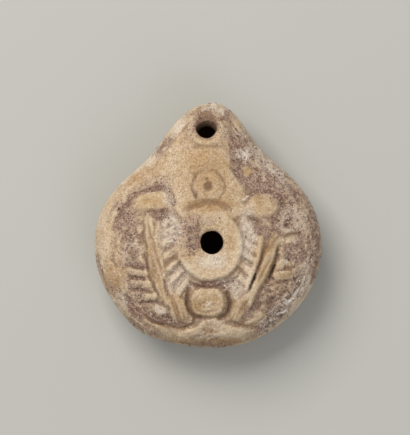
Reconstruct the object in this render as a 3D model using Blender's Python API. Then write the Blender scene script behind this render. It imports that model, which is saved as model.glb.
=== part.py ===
"""Roman mould-made oil lamp of fired clay, standing on its flat base with the nozzle towards +Y.

The lamp is one piece: a squat round body with a short round nozzle, a relief of two branches
on its shoulder, a filling hole in the middle of the top and a wick hole in the nozzle.
It is drawn in millimetres from the centre of its base, and the meshes are made in metres.
"""
import math
from typing import NamedTuple

import bmesh
import bpy
import numpy as np

MM = 0.001

# Driving dimensions of the body, in millimetres
BODY_HALF_WIDTH = 39.0
BODY_HALF_DEPTH = 34.65
NOZZLE_REACH = 14.3
SEAM_HEIGHT = 15.0
DOME_RISE = 15.0
BASE_RADIUS = 15.0
WALL = 4.0

# Holes
FILLING_HOLE_AT = (1.5, 1.3)
FILLING_HOLE_RADIUS = 4.0
WICK_HOLE_AT = (-0.3, 40.5)
WICK_HOLE_RADIUS = 3.6
HOLE_SIDES = 40
HOLE_TOP = 40.0

# Outline: how the nozzle grows out of the oval body, in degrees from the nozzle's own line
NOZZLE_LEAN = -3.0
NOZZLE_SPREAD_LEFT = 24.4
NOZZLE_SPREAD_RIGHT = 18.4
NOZZLE_POWER_LEFT = 2.17
NOZZLE_POWER_RIGHT = 1.87


class Swelling(NamedTuple):
    """An unevenness of the outline, left by the maker's hand."""

    turn: float
    depth: float
    spread: float


EDGE_SWELLINGS = (
    Swelling(turn=44.0, depth=-1.05, spread=24.0),
    Swelling(turn=142.5, depth=1.0, spread=13.0),
    Swelling(turn=-159.0, depth=0.6, spread=16.7),
    Swelling(turn=103.0, depth=-0.6, spread=24.0),
)

# Section: exponents of the domed top and of the bowl below, and the pad that the lamp stands on
DOME_POWER = 2.5
DOME_ROUNDNESS = 0.52
BOWL_POWER = 1.5
BOWL_ROUNDNESS = 0.5
PAD_HEIGHT = 0.8
PAD_EDGE = 0.9
SPARE_BELOW = 2.0
GROUND_WIDTH = 200.0
GROUND_DEPTH = 10.0

# Chamber, whose arm into the nozzle leans less than the nozzle's outside
INNER_NOZZLE_LEAN = -1.7
INNER_NOZZLE_REACH = 14.1
INNER_NOZZLE_SPREAD = 15.5
INNER_FLOOR_ROUNDNESS = 0.55

# Fineness of the grid that the relief is drawn on, and the share of its triangles that are kept
SECTORS = 240
TOP_RINGS = 92
EDGE_CROWDING = 0.5
BOWL_RINGS = 12
BOWL_RING_SPREAD = 0.8
KEPT_SHARE = 0.15
INNER_SECTORS = 44
INNER_RINGS = 8

# The relief keeps this share of its moulded height, and it ends where the top turns down to the seam
HEIGHT_LEFT_BY_WEAR = 0.85
RELIEF_END = 0.97
RELIEF_FADE = 0.06

CLAY_COLOUR = (0.56, 0.41, 0.28, 1.0)
CLAY_ROUGHNESS = 0.9


class Groove(NamedTuple):
    """A soft line pressed into the clay. A negative depth raises a thin ridge instead."""

    points: tuple
    depth: float
    width: float


class Lobe(NamedTuple):
    """An oval brought to a level of its own and crowned in its middle; a power over 2 squares it."""

    centre: tuple
    half: tuple
    level: float
    crown: float = 0.0
    edge: float = 1.3
    power: float = 2.0
    turn: float = 0.0


class Dent(NamedTuple):
    """An oval hollow that follows the surface it is in."""

    centre: tuple
    half: tuple
    depth: float
    edge: float
    turn: float = 0.0


class LeafRow(NamedTuple):
    """Leaflets along one side of a stem; wear gives the share of each one that is left."""

    root: tuple
    drop: float
    bend: float
    turn: float
    turn_step: float
    length: float
    width: float
    rise: float
    gap_depth: float
    wear: tuple


# Sunk ground of the two branches, between the plain border and the neck
FIELD_CENTRE = (0.0, -3.0)
FIELD_HALF = (33.0, 25.0)
FIELD_POWER = 2.8
FIELD_CORNER = 6.0
FIELD_DEPTH = 0.75
FIELD_EDGE = 1.4
FIELD_WORN_EDGE = 2.6
FIELD_WEAR_WIDTH = 20.0
BORDER_BULGE_CENTRE = (-31.2, -12.8)
BORDER_BULGE_HALF = (4.2, 5.4)
NECK_CENTRE = 0.5
NECK_HALF_WIDTH = 11.2
NECK_FOOT = 12.0

# Leaflets, from the top of each row down
GAP_WIDTH = 1.4
GAP_START = 0.15
TIP_LOSS = 0.45
LEAF_ROWS = (
    LeafRow(root=(-21.2, -0.6), drop=4.1, bend=0.2, turn=170.0, turn_step=2.5, length=6.4, width=2.7,
            rise=0.6, gap_depth=0.6, wear=(0.15, 0.35, 1.0, 0.9, 0.9)),
    LeafRow(root=(-15.2, 4.8), drop=4.2, bend=0.22, turn=20.0, turn_step=8.0, length=5.2, width=2.4,
            rise=0.8, gap_depth=0.5, wear=(0.4, 0.5, 0.7, 1.0, 0.9, 1.0)),
    LeafRow(root=(25.3, 1.8), drop=4.05, bend=-0.16, turn=7.0, turn_step=1.0, length=6.2, width=3.0,
            rise=0.6, gap_depth=0.45, wear=(0.7, 0.25, 0.6, 1.0, 0.45)),
    LeafRow(root=(17.0, 2.2), drop=3.7, bend=-0.22, turn=158.0, turn_step=-3.5, length=4.4, width=2.4,
            rise=0.75, gap_depth=0.5, wear=(0.4, 0.7, 0.9, 0.9, 0.8)),
)

# Stems: the left one is a shallow channel between two ridges, the right one is rounded, with a thin strip
LEFT_STEM = (
    (-18.8, 9.5), (-18.1, 3.0), (-17.3, -3.5), (-16.8, -8.0),
    (-15.9, -13.0), (-14.2, -17.5), (-9.6, -23.6),
)
LEFT_STEM_WIDTH = 4.9
LEFT_STEM_LEVEL = -0.45
LEFT_STEM_EDGE = 1.4
RIGHT_STEM = ((23.1, 3.0), (20.8, -4.2), (18.1, -10.8), (14.6, -17.3), (12.8, -19.8), (9.6, -23.8))
RIGHT_STEM_WIDTH = 3.4
RIGHT_STEM_LEVEL = 0.7
RIGHT_STEM_CROWN = 0.12
STRIP = ((18.1, 2.6), (17.8, -0.5), (16.9, -4.4), (15.8, -7.6), (14.6, -11.1), (13.4, -14.6))
STRIP_WIDTH = 1.6
STRIP_LEVEL = 0.45
STEM_EDGE = 1.0

# Lobes over the branches: the knobs at their heads, and the feet and toes beside the boss
LOBES = (
    Lobe(centre=(-10.2, -21.0), half=(3.3, 5.0), level=0.3, crown=0.35, edge=1.7, turn=36.0),
    Lobe(centre=(11.4, -21.4), half=(2.7, 4.2), level=0.25, crown=0.35, edge=1.7, turn=-36.0),
    Lobe(centre=(16.3, -24.4), half=(4.1, 2.3), level=-0.1, crown=0.35, edge=1.8, turn=8.0),
    Lobe(centre=(-16.3, -21.6), half=(3.2, 2.1), level=-0.15, crown=0.3, edge=1.8, turn=-14.0),
    Lobe(centre=(-18.8, 15.3), half=(6.3, 3.3), level=0.05, crown=0.6, edge=2.0, power=2.3, turn=3.0),
    Lobe(centre=(19.6, 14.3), half=(5.1, 3.9), level=0.05, crown=0.7, edge=2.2, power=2.2),
)
BOSS = Lobe(centre=(0.1, -19.1), half=(5.9, 4.8), level=0.5, crown=0.6, edge=1.0, power=2.8)

# Smooth disc, dished towards the filling hole, with a wide groove over it and a narrow one below
DISC_CENTRE = (0.9, 0.2)
DISC_HALF = (11.5, 12.4)
DISC_RISE = 1.0
DISC_DISH = 1.1
DISC_DISH_RADIUS = 6.2
DISC_DISH_WIDTH = 8.0
DISC_EDGE = 1.4
DISC_INSET = 0.4
DISC_WORN_EDGE = 3.0
DISC_WORN_DROP = 0.35
DISC_WORN_TURN = 60.0
DISC_WORN_HALF = 50.0
DISC_WORN_FADE = 40.0
UPPER_GROOVE_DEPTH = 0.75
UPPER_GROOVE_AT = 2.0
UPPER_GROOVE_WIDTH = 3.0
UPPER_GROOVE_HALF_TURN = 32.0
UPPER_GROOVE_FADE = 14.0
LOWER_GROOVE_DEPTH = 0.7
LOWER_GROOVE_AT = 1.9
LOWER_GROOVE_WIDTH = 1.9
LOWER_GROOVE_START = 130.0
LOWER_GROOVE_FADE = 50.0

# Mound behind the boss, steep on its upper side and gentle towards the edge
TAIL_CREST = (
    (-12.0, -31.0), (-7.5, -29.1), (-3.9, -27.4), (-0.8, -25.3),
    (3.0, -24.8), (6.7, -26.7), (15.5, -29.3),
)
TAIL_MIDDLE = 1.8
TAIL_HALF_LENGTH = 12.0
TAIL_FADE = 5.0
TAIL_RISE = 1.1
TAIL_STEP = 1.4
TAIL_SLOPE = 6.5

GROOVES = (
    # The left stem's two ridges and the lines outside them
    Groove(((-20.9, 9.4), (-19.9, 0.0), (-18.9, -8.6), (-17.2, -13.6), (-15.6, -17)), depth=-0.75, width=1.4),
    Groove(((-16.7, 7.6), (-16.4, 3.3), (-15.4, -3.3), (-14.2, -11.5)), depth=-0.65, width=1.3),
    Groove(((-21.0, -2.7), (-20.2, -8.6), (-18.6, -13.3), (-17.4, -16.0)), depth=0.85, width=1.4),
    Groove(((-14.6, -11.4), (-13.4, -17.2)), depth=0.7, width=1.2),
    # The lines on both sides of the right stem
    Groove(((19.9, 0.1), (18.7, -3.5), (17.5, -7.0), (16.4, -10.0), (14.0, -14.8)), depth=0.8, width=1.4),
    Groove(((24.2, 0.1), (23.7, -2.9), (22.8, -6.4), (21.5, -10.3), (20.4, -12.3)), depth=1.1, width=1.5),
    # The bands over the two knobs
    Groove(((-27.0, 15.5), (-24.9, 17.3), (-21.2, 19.2), (-18.1, 20.3), (-14.5, 21.0)), depth=0.5, width=2.8),
    Groove(((-13.6, 18.6), (-12.0, 16.0), (-11.2, 13.4)), depth=0.5, width=1.4),
    Groove(((18.6, 18.4), (21.5, 18.7), (24.4, 17.6), (25.8, 15.9)), depth=0.5, width=1.4),
    # The deep grooves on both sides of the boss, and those round the feet
    Groove(((-6.8, -14.6), (-7.4, -18.8), (-6.7, -21.7), (-5.1, -23.4), (-2.4, -24.1)), depth=1.0, width=1.9),
    Groove(((6.7, -16.0), (7.5, -19.0), (7.2, -21.6), (6.0, -23.8), (4.0, -24.4)), depth=1.0, width=2.3),
    Groove(((-21.4, -23.6), (-18.9, -25.6), (-14.2, -26.9), (-7.4, -27.8), (-4.3, -24)), depth=0.75, width=1.6),
    Groove(((7.8, -25.9), (10.8, -26.5), (14.0, -27.5), (18.2, -27.7)), depth=0.7, width=1.5),
    Groove(((-19.5, -19.1), (-17.7, -19.1), (-15.1, -19.8), (-12.9, -21.3)), depth=0.6, width=1.2),
    # The strokes on the right, and the line across the neck
    Groove(((26.4, 3.3), (28.8, 4.1), (32.2, 4.1)), depth=0.45, width=1.4),
    Groove(((23.4, -18.9), (25.2, -17.2), (26.9, -15.0)), depth=0.5, width=1.3),
    Groove(((-6.4, 33.2), (0.0, 34.0), (6.8, 33.6)), depth=0.3, width=1.5),
)

DENTS = (
    Dent(centre=(-25.7, -2.6), half=(2.6, 4.0), depth=0.35, edge=1.4),
    Dent(centre=(-17.2, 10.8), half=(3.2, 1.9), depth=0.5, edge=1.5, turn=-14.0),
    Dent(centre=(15.4, 9.3), half=(1.6, 0.9), depth=0.5, edge=1.0, turn=-26.0),
    Dent(centre=(27.3, 7.9), half=(1.9, 0.9), depth=0.6, edge=1.0, turn=58.0),
)

# Neck: the step down from its plain panel on the right, and the stamped dot and ring
PANEL_EDGE = ((13.4, 12.7), (12.5, 17.3), (11.2, 20.4), (9.7, 22.8), (7.9, 25.9), (7.6, 28.9), (7.4, 34.0))
PANEL_DROP = 0.35
PANEL_STEP = 1.3
PANEL_BOTTOM = 14.0
PANEL_BOTTOM_FADE = 3.0
PANEL_TOP = 38.0
PANEL_TOP_FADE = 6.0
RING_CENTRE = (0.4, 20.2)
RING_RADIUS = 5.5
RING_WIDTH = 1.7
RING_DEPTH = 0.55
RING_OPEN_TURN = 146.0
RING_OPEN_FADE = 14.0
DOT_RADIUS = 1.6
DOT_DEPTH = 0.7
DOT_EDGE = 0.8

# Rounded rim of the nozzle, and the funnel that leads to the wick hole
RIM_RADIUS = 7.0
RIM_SHIFT = 0.4
RIM_RISE = 0.4
RIM_EDGE = 1.6
FUNNEL_DEPTH = 1.2
FUNNEL_OVERLAP = 0.4
FUNNEL_WIDTH = 4.0


def clear_scene():
    """Remove the objects that a new file starts with."""
    for item in list(bpy.data.objects):
        bpy.data.objects.remove(item, do_unlink=True)


def degrees_from_nozzle(angle):
    """Turn an angle in radians into degrees from the nozzle's direction, positive to the left."""
    return (np.degrees(angle) - 90.0 + 180.0) % 360.0 - 180.0


def oval_radius(angle, half_width, half_depth):
    """Distance from the middle of an oval to its edge."""
    return half_width * half_depth / np.hypot(half_depth * np.cos(angle), half_width * np.sin(angle))


def outer_radius(angle):
    """Distance from the axis to the lamp's widest line, the seam of its two halves."""
    turn = degrees_from_nozzle(angle)
    offset = turn - NOZZLE_LEAN
    spread = np.where(offset > 0, NOZZLE_SPREAD_LEFT, NOZZLE_SPREAD_RIGHT)
    power = np.where(offset > 0, NOZZLE_POWER_LEFT, NOZZLE_POWER_RIGHT)
    radius = oval_radius(angle, BODY_HALF_WIDTH, BODY_HALF_DEPTH)
    radius = radius + NOZZLE_REACH * np.exp(-(np.abs(offset) / spread) ** power)
    for swelling in EDGE_SWELLINGS:
        away = (turn - swelling.turn + 180.0) % 360.0 - 180.0
        radius = radius + swelling.depth * np.exp(-(away / swelling.spread) ** 2)
    return radius


def inner_radius(angle):
    """Distance from the axis to the chamber's widest line."""
    offset = degrees_from_nozzle(angle) - INNER_NOZZLE_LEAN
    radius = oval_radius(angle, BODY_HALF_WIDTH - WALL, BODY_HALF_DEPTH - WALL)
    return radius + INNER_NOZZLE_REACH * np.exp(-(offset / INNER_NOZZLE_SPREAD) ** 2)


def dome(share, rise):
    """Height of the domed top over the seam, for a share of the way from the axis to the edge."""
    return rise * np.clip(1.0 - share ** DOME_POWER, 0.0, 1.0) ** DOME_ROUNDNESS


def soft_step(distance, width):
    """Give 1 inside an edge and 0 outside it, with a smooth slope of this width."""
    share = np.clip(0.5 - distance / width, 0.0, 1.0)
    return share * share * (3.0 - 2.0 * share)


def soft_line(distance, width):
    """Give 1 on a line and 0 from half the width outwards."""
    share = np.clip(1.0 - 2.0 * np.abs(distance) / width, 0.0, 1.0)
    return share * share * (3.0 - 2.0 * share)


def oval_distance(x, y, centre, half, power=2.0, turn=0.0):
    """Signed distance, nearly, to the edge of an oval or of a rounded square, turned by degrees."""
    cos = math.cos(math.radians(turn))
    sin = math.sin(math.radians(turn))
    across = np.abs(((x - centre[0]) * cos + (y - centre[1]) * sin) / half[0])
    along = np.abs(((y - centre[1]) * cos - (x - centre[0]) * sin) / half[1])
    return ((across ** power + along ** power) ** (1.0 / power) - 1.0) * min(half)


def smooth_path(points, steps=8):
    """Run a smooth curve through a few points."""
    ends = [points[0]] + list(points) + [points[-1]]
    path = []
    for before, start, end, after in zip(ends, ends[1:], ends[2:], ends[3:]):
        for step in range(steps):
            t = step / steps
            path.append([
                0.5 * (2 * b + (c - a) * t + (2 * a - 5 * b + 4 * c - d) * t ** 2
                       + (3 * b - 3 * c + d - a) * t ** 3)
                for a, b, c, d in zip(before, start, end, after)
            ])
    path.append(list(points[-1]))
    return path


def path_distance(x, y, path):
    """Distance to a path of straight pieces, and the share of the way along it."""
    nearest = np.full(x.shape, np.inf)
    along = np.zeros(x.shape)
    count = len(path) - 1
    for index in range(count):
        ax, ay = path[index]
        bx, by = path[index + 1]
        length = (bx - ax) ** 2 + (by - ay) ** 2
        share = np.clip(((x - ax) * (bx - ax) + (y - ay) * (by - ay)) / length, 0.0, 1.0)
        distance = np.hypot(x - ax - share * (bx - ax), y - ay - share * (by - ay))
        closer = distance < nearest
        nearest = np.where(closer, distance, nearest)
        along = np.where(closer, (index + share) / count, along)
    return nearest, along


def settle(height, level, cover):
    """Bring the surface to a level where the cover is 1."""
    return height + (level - height) * cover


def field_edge(x, y):
    """Signed distance, nearly, to the edge of the sunk ground of the branches."""
    border = oval_distance(x, y, FIELD_CENTRE, FIELD_HALF, FIELD_POWER) + FIELD_CORNER
    neck = NECK_HALF_WIDTH - np.abs(x - NECK_CENTRE) - np.maximum(NECK_FOOT - y, 0.0) + FIELD_CORNER
    corner = np.hypot(np.maximum(border, 0.0), np.maximum(neck, 0.0))
    edge = np.maximum(corner, np.maximum(border, neck)) - FIELD_CORNER
    bulge = oval_distance(x, y, BORDER_BULGE_CENTRE, BORDER_BULGE_HALF)
    return np.maximum(edge, -bulge)


def carve_field(x, y):
    """Sink the ground of the branches, with an edge that is worn soft on the right."""
    softness = FIELD_EDGE + FIELD_WORN_EDGE * soft_step(-x, FIELD_WEAR_WIDTH)
    return -FIELD_DEPTH * soft_step(field_edge(x, y) / softness, 1.0)


def carve_groove(x, y, height, groove):
    """Sink the surface along a line."""
    distance, along = path_distance(x, y, smooth_path(groove.points))
    return height - groove.depth * soft_line(distance, groove.width)


def shape_lobe(x, y, height, lobe):
    """Bring the surface inside an oval to its own level."""
    distance = oval_distance(x, y, lobe.centre, lobe.half, lobe.power, lobe.turn)
    way = np.clip(1.0 + distance / min(lobe.half), 0.0, 2.0)
    level = lobe.level + lobe.crown * (1.0 - way ** 2)
    return settle(height, level, soft_step(distance, lobe.edge))


def press_dent(x, y, height, dent):
    """Sink the surface inside an oval."""
    distance = oval_distance(x, y, dent.centre, dent.half, turn=dent.turn)
    return height - dent.depth * soft_step(distance, dent.edge)


def add_leaf_row(x, y, height, row):
    """Raise each leaflet of a row as far as it isn't worn away, and sink the gap below it."""
    for index, left in enumerate(row.wear):
        root = (row.root[0] + row.bend * index ** 2, row.root[1] - row.drop * index)
        turn = math.radians(row.turn + row.turn_step * index)
        tip = (root[0] + row.length * math.cos(turn), root[1] + row.length * math.sin(turn))
        distance, along = path_distance(x, y, [root, tip])
        crown = np.sqrt(np.clip(1.0 - (2.0 * distance / row.width) ** 2, 0.0, 1.0))
        height = height + row.rise * left * crown * (1.0 - TIP_LOSS * along)
        gap_root = (root[0] + GAP_START * (tip[0] - root[0]), root[1] - 0.5 * row.drop)
        gap_tip = (tip[0], tip[1] - 0.5 * row.drop)
        height = carve_groove(x, y, height, Groove((gap_root, gap_tip), row.gap_depth * left, GAP_WIDTH))
    return height


def add_stems(x, y, height):
    """Raise the two stems and the thin strip beside the right one."""
    left, along = path_distance(x, y, smooth_path(LEFT_STEM))
    height = settle(height, LEFT_STEM_LEVEL, soft_step(left - 0.5 * LEFT_STEM_WIDTH, LEFT_STEM_EDGE))
    strip, along = path_distance(x, y, smooth_path(STRIP))
    height = settle(height, STRIP_LEVEL, soft_step(strip - 0.5 * STRIP_WIDTH, STEM_EDGE))
    right, along = path_distance(x, y, smooth_path(RIGHT_STEM))
    crown = RIGHT_STEM_LEVEL - RIGHT_STEM_CROWN * right ** 2
    return settle(height, crown, soft_step(right - 0.5 * RIGHT_STEM_WIDTH, STEM_EDGE))


def add_tail(x, y, height):
    """Raise the mound behind the boss."""
    crest = smooth_path(TAIL_CREST)
    crest_y = np.interp(x, [point[0] for point in crest], [point[1] for point in crest])
    below = crest_y - y
    ends = soft_step(np.abs(x - TAIL_MIDDLE) - TAIL_HALF_LENGTH, TAIL_FADE)
    slope = np.clip(1.0 - below / TAIL_SLOPE, 0.0, 1.0)
    return height + TAIL_RISE * ends * soft_step(-below, TAIL_STEP) * slope


def add_disc(x, y, height):
    """Raise the smooth disc, worn low on its upper left, with its grooves."""
    edge = oval_distance(x, y, DISC_CENTRE, DISC_HALF)
    turn = degrees_from_nozzle(np.arctan2(y - DISC_CENTRE[1], x - DISC_CENTRE[0]))
    above = soft_step(np.abs(turn) - UPPER_GROOVE_HALF_TURN, UPPER_GROOVE_FADE)
    height = height - UPPER_GROOVE_DEPTH * soft_line(edge - UPPER_GROOVE_AT, UPPER_GROOVE_WIDTH) * above
    below = soft_step(LOWER_GROOVE_START - np.abs(turn), LOWER_GROOVE_FADE)
    height = height - LOWER_GROOVE_DEPTH * soft_line(edge - LOWER_GROOVE_AT, LOWER_GROOVE_WIDTH) * below
    hole = np.hypot(x - FILLING_HOLE_AT[0], y - FILLING_HOLE_AT[1])
    worn = soft_step(np.abs(turn - DISC_WORN_TURN) - DISC_WORN_HALF, DISC_WORN_FADE)
    level = DISC_RISE - DISC_DISH * soft_step(hole - DISC_DISH_RADIUS, DISC_DISH_WIDTH) - DISC_WORN_DROP * worn
    softness = DISC_EDGE + DISC_WORN_EDGE * worn
    return settle(height, level, soft_step((edge + DISC_INSET) / softness, 1.0))


def add_panel(x, y, height):
    """Drop the shoulder to the right of the neck's plain panel."""
    right_edge = np.interp(y, [point[1] for point in PANEL_EDGE], [point[0] for point in PANEL_EDGE])
    ends = soft_step(PANEL_BOTTOM - y, PANEL_BOTTOM_FADE) * soft_step(y - PANEL_TOP, PANEL_TOP_FADE)
    outside_field = soft_step(-field_edge(x, y), PANEL_BOTTOM_FADE)
    return height - PANEL_DROP * soft_step(right_edge - x, PANEL_STEP) * ends * outside_field


def stamp_ring(x, y, height):
    """Stamp the dot and the ring round it, which is open below, into the neck."""
    across = x - RING_CENTRE[0]
    along = y - RING_CENTRE[1]
    radius = np.hypot(across, along)
    turn = np.abs(degrees_from_nozzle(np.arctan2(along, across)))
    ring = soft_line(radius - RING_RADIUS, RING_WIDTH) * soft_step(turn - RING_OPEN_TURN, RING_OPEN_FADE)
    return height - RING_DEPTH * ring - DOT_DEPTH * soft_step(radius - DOT_RADIUS, DOT_EDGE)


def add_mouth(x, y, height):
    """Shape the nozzle's rounded rim and the funnel of the wick hole."""
    rim = np.hypot(x - WICK_HOLE_AT[0], y - WICK_HOLE_AT[1] - RIM_SHIFT)
    height = height + RIM_RISE * soft_step(rim - RIM_RADIUS, RIM_EDGE)
    funnel = np.hypot(x - WICK_HOLE_AT[0], y - WICK_HOLE_AT[1]) - WICK_HOLE_RADIUS
    return height - FUNNEL_DEPTH * soft_step(funnel - FUNNEL_OVERLAP, FUNNEL_WIDTH)


def relief(x, y):
    """Height of the carving over the smooth dome."""
    height = carve_field(x, y)
    for row in LEAF_ROWS:
        height = add_leaf_row(x, y, height, row)
    height = add_stems(x, y, height)
    for lobe in LOBES:
        height = shape_lobe(x, y, height, lobe)
    height = add_tail(x, y, height)
    height = add_disc(x, y, height)
    for groove in GROOVES:
        height = carve_groove(x, y, height, groove)
    height = shape_lobe(x, y, height, BOSS)
    height = add_panel(x, y, height)
    height = stamp_ring(x, y, height)
    height = add_mouth(x, y, height)
    for dent in DENTS:
        height = press_dent(x, y, height, dent)
    return HEIGHT_LEFT_BY_WEAR * height


def ring_points(radius, angle, height):
    """Place one ring of points round the axis."""
    return np.stack([radius * np.cos(angle), radius * np.sin(angle), height], axis=1)


def shell_object(name, top, rings, bottom):
    """Close a shell of rings between a top point and a bottom point."""
    sectors = len(rings[0])
    points = [top] + [tuple(point) for ring in rings for point in ring] + [bottom]
    last = len(points) - 1
    faces = []
    for sector in range(sectors):
        after = (sector + 1) % sectors
        faces.append((0, 1 + sector, 1 + after))
        for ring in range(len(rings) - 1):
            upper = 1 + ring * sectors
            lower = upper + sectors
            faces.append((upper + sector, lower + sector, lower + after, upper + after))
        lowest = 1 + (len(rings) - 1) * sectors
        faces.append((last, lowest + after, lowest + sector))
    mesh = bpy.data.meshes.new(name)
    mesh.from_pydata([[value * MM for value in point] for point in points], [], faces)
    mesh.shade_smooth()
    shell = bpy.data.objects.new(name, mesh)
    bpy.context.collection.objects.link(shell)
    return shell


def top_rings(angle, edge):
    """Rings of the domed top with its relief, closer together towards the edge."""
    rings = []
    for index in range(1, TOP_RINGS):
        way = index / TOP_RINGS
        share = way + EDGE_CROWDING * math.sin(math.pi * way) / math.pi
        ring = ring_points(edge * share, angle, np.zeros(SECTORS))
        fade = soft_step(np.full(SECTORS, share - RELIEF_END), RELIEF_FADE)
        ring[:, 2] = SEAM_HEIGHT + dome(share, DOME_RISE) + relief(ring[:, 0], ring[:, 1]) * fade
        rings.append(ring)
    return rings


def under_rings(angle, edge):
    """Rings from the seam down the bowl to the edge of the base, and on down below it."""
    rings = []
    pad = BASE_RADIUS + PAD_EDGE
    for index in range(BOWL_RINGS + 1):
        share = math.cos(0.5 * math.pi * index / BOWL_RINGS) ** BOWL_RING_SPREAD
        rise = 1.0 - (1.0 - share ** BOWL_POWER) ** BOWL_ROUNDNESS
        level = PAD_HEIGHT + (SEAM_HEIGHT - PAD_HEIGHT) * rise
        rings.append(ring_points(pad + (edge - pad) * share, angle, np.full(SECTORS, level)))
    for level in (0.0, -SPARE_BELOW):
        rings.append(ring_points(BASE_RADIUS, angle, np.full(SECTORS, level)))
    return rings


def make_body():
    """Make the lamp's outer form, with the relief thinned to the triangles that it needs."""
    angle = np.arange(SECTORS) * 2.0 * np.pi / SECTORS
    edge = outer_radius(angle)
    centre = np.zeros(1)
    top = (0.0, 0.0, SEAM_HEIGHT + DOME_RISE + float(relief(centre, centre)[0]))
    rings = top_rings(angle, edge) + under_rings(angle, edge)
    body = shell_object("lamp_body", top, rings, (0.0, 0.0, -SPARE_BELOW))
    thin = body.modifiers.new("thin", "DECIMATE")
    thin.decimate_type = "COLLAPSE"
    thin.ratio = KEPT_SHARE
    return body


def chamber_rings():
    """Rings of the oil chamber, a wall's thickness inside the outer surface."""
    angle = np.arange(INNER_SECTORS) * 2.0 * np.pi / INNER_SECTORS
    edge = inner_radius(angle)
    rings = []
    for index in range(1, INNER_RINGS + 1):
        share = math.sin(0.5 * math.pi * index / INNER_RINGS)
        height = SEAM_HEIGHT + dome(share, DOME_RISE - WALL)
        rings.append(ring_points(edge * share, angle, np.full(INNER_SECTORS, height)))
    for index in range(1, INNER_RINGS):
        share = math.cos(0.5 * math.pi * index / INNER_RINGS)
        level = WALL + (SEAM_HEIGHT - WALL) * (1.0 - (1.0 - share ** 2) ** INNER_FLOOR_ROUNDNESS)
        rings.append(ring_points(edge * share, angle, np.full(INNER_SECTORS, level)))
    return rings


def hide_cutter(cutter):
    """Mark an object as a cutter, which isn't part of the lamp."""
    cutter.hide_render = True
    cutter.display_type = "WIRE"
    return cutter


def make_chamber():
    """Make the cutter of the oil chamber."""
    top = (0.0, 0.0, SEAM_HEIGHT + DOME_RISE - WALL)
    return hide_cutter(shell_object("chamber_cutter", top, chamber_rings(), (0.0, 0.0, WALL)))


def make_hole(name, place, radius):
    """Make the cutter of a round hole from the seam's height up through the top."""
    angle = np.arange(HOLE_SIDES) * 2.0 * np.pi / HOLE_SIDES
    rings = []
    for height in (HOLE_TOP, SEAM_HEIGHT):
        ring = ring_points(np.full(HOLE_SIDES, radius), angle, np.full(HOLE_SIDES, height))
        rings.append(ring + np.array([place[0], place[1], 0.0]))
    return hide_cutter(shell_object(name, (*place, HOLE_TOP), rings, (*place, SEAM_HEIGHT)))


def make_ground():
    """Make the cutter that trims the base flat."""
    mesh = bpy.data.meshes.new("ground_cutter")
    block = bmesh.new()
    bmesh.ops.create_cube(block, size=1.0)
    bmesh.ops.scale(block, vec=(GROUND_WIDTH * MM, GROUND_WIDTH * MM, GROUND_DEPTH * MM), verts=block.verts)
    bmesh.ops.translate(block, vec=(0.0, 0.0, -0.5 * GROUND_DEPTH * MM), verts=block.verts)
    block.to_mesh(mesh)
    block.free()
    ground = bpy.data.objects.new("ground_cutter", mesh)
    bpy.context.collection.objects.link(ground)
    return hide_cutter(ground)


def cut(body, cutter):
    """Take a cutter's shape out of the lamp."""
    step = body.modifiers.new(cutter.name, "BOOLEAN")
    step.operation = "DIFFERENCE"
    step.solver = "EXACT"
    step.object = cutter


def clay_material():
    """Buff fired clay, unglazed and dull."""
    clay = bpy.data.materials.new("fired_clay")
    clay.use_nodes = True
    shader = clay.node_tree.nodes["Principled BSDF"]
    shader.inputs["Base Color"].default_value = CLAY_COLOUR
    shader.inputs["Roughness"].default_value = CLAY_ROUGHNESS
    shader.inputs["Metallic"].default_value = 0.0
    return clay


def main():
    """Build the lamp."""
    clear_scene()
    body = make_body()
    body.data.materials.append(clay_material())
    cut(body, make_ground())
    cut(body, make_chamber())
    cut(body, make_hole("filling_hole_cutter", FILLING_HOLE_AT, FILLING_HOLE_RADIUS))
    cut(body, make_hole("wick_hole_cutter", WICK_HOLE_AT, WICK_HOLE_RADIUS))


main()
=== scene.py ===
"""Looks of a Roman oil lamp of fired Nile clay, made in a two-part mould and dug up again.

The lamp is one piece of clay, so one mesh stands for it: a high relief worn by burial, with earth
and lime left in its hollows, painted shade in its hollows and insides, and a painted highlight on its
ridges and rim. Small crumbs of lime and of earth lie on it as pieces of their own.
Sizes are in millimetres from the centre of the base, and meshes are made in metres.
"""
from __future__ import annotations

import itertools
import logging
import math
from dataclasses import dataclass
from enum import Enum, IntEnum
from typing import Sequence

import bmesh
import bpy
import numpy as np
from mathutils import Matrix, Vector


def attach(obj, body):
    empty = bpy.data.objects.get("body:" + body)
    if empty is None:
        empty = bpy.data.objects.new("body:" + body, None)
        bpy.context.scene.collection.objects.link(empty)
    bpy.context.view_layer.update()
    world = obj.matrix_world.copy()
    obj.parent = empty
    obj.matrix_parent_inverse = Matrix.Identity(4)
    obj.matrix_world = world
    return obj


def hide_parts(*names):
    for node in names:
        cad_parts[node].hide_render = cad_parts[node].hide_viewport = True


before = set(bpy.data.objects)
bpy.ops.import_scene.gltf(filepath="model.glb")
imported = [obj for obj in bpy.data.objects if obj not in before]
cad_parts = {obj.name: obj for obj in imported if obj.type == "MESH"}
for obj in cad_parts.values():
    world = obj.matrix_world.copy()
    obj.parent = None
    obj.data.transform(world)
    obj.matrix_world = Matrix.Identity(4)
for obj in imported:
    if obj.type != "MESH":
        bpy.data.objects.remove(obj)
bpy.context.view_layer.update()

MM = 0.001
LOG = logging.getLogger("lamp")

Array = np.ndarray
Point = tuple[float, float]


class Deposit(Enum):
    """What the burial left on the clay."""

    EARTH = "earth"
    LIME = "lime"
    OCHRE = "ochre"


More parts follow.
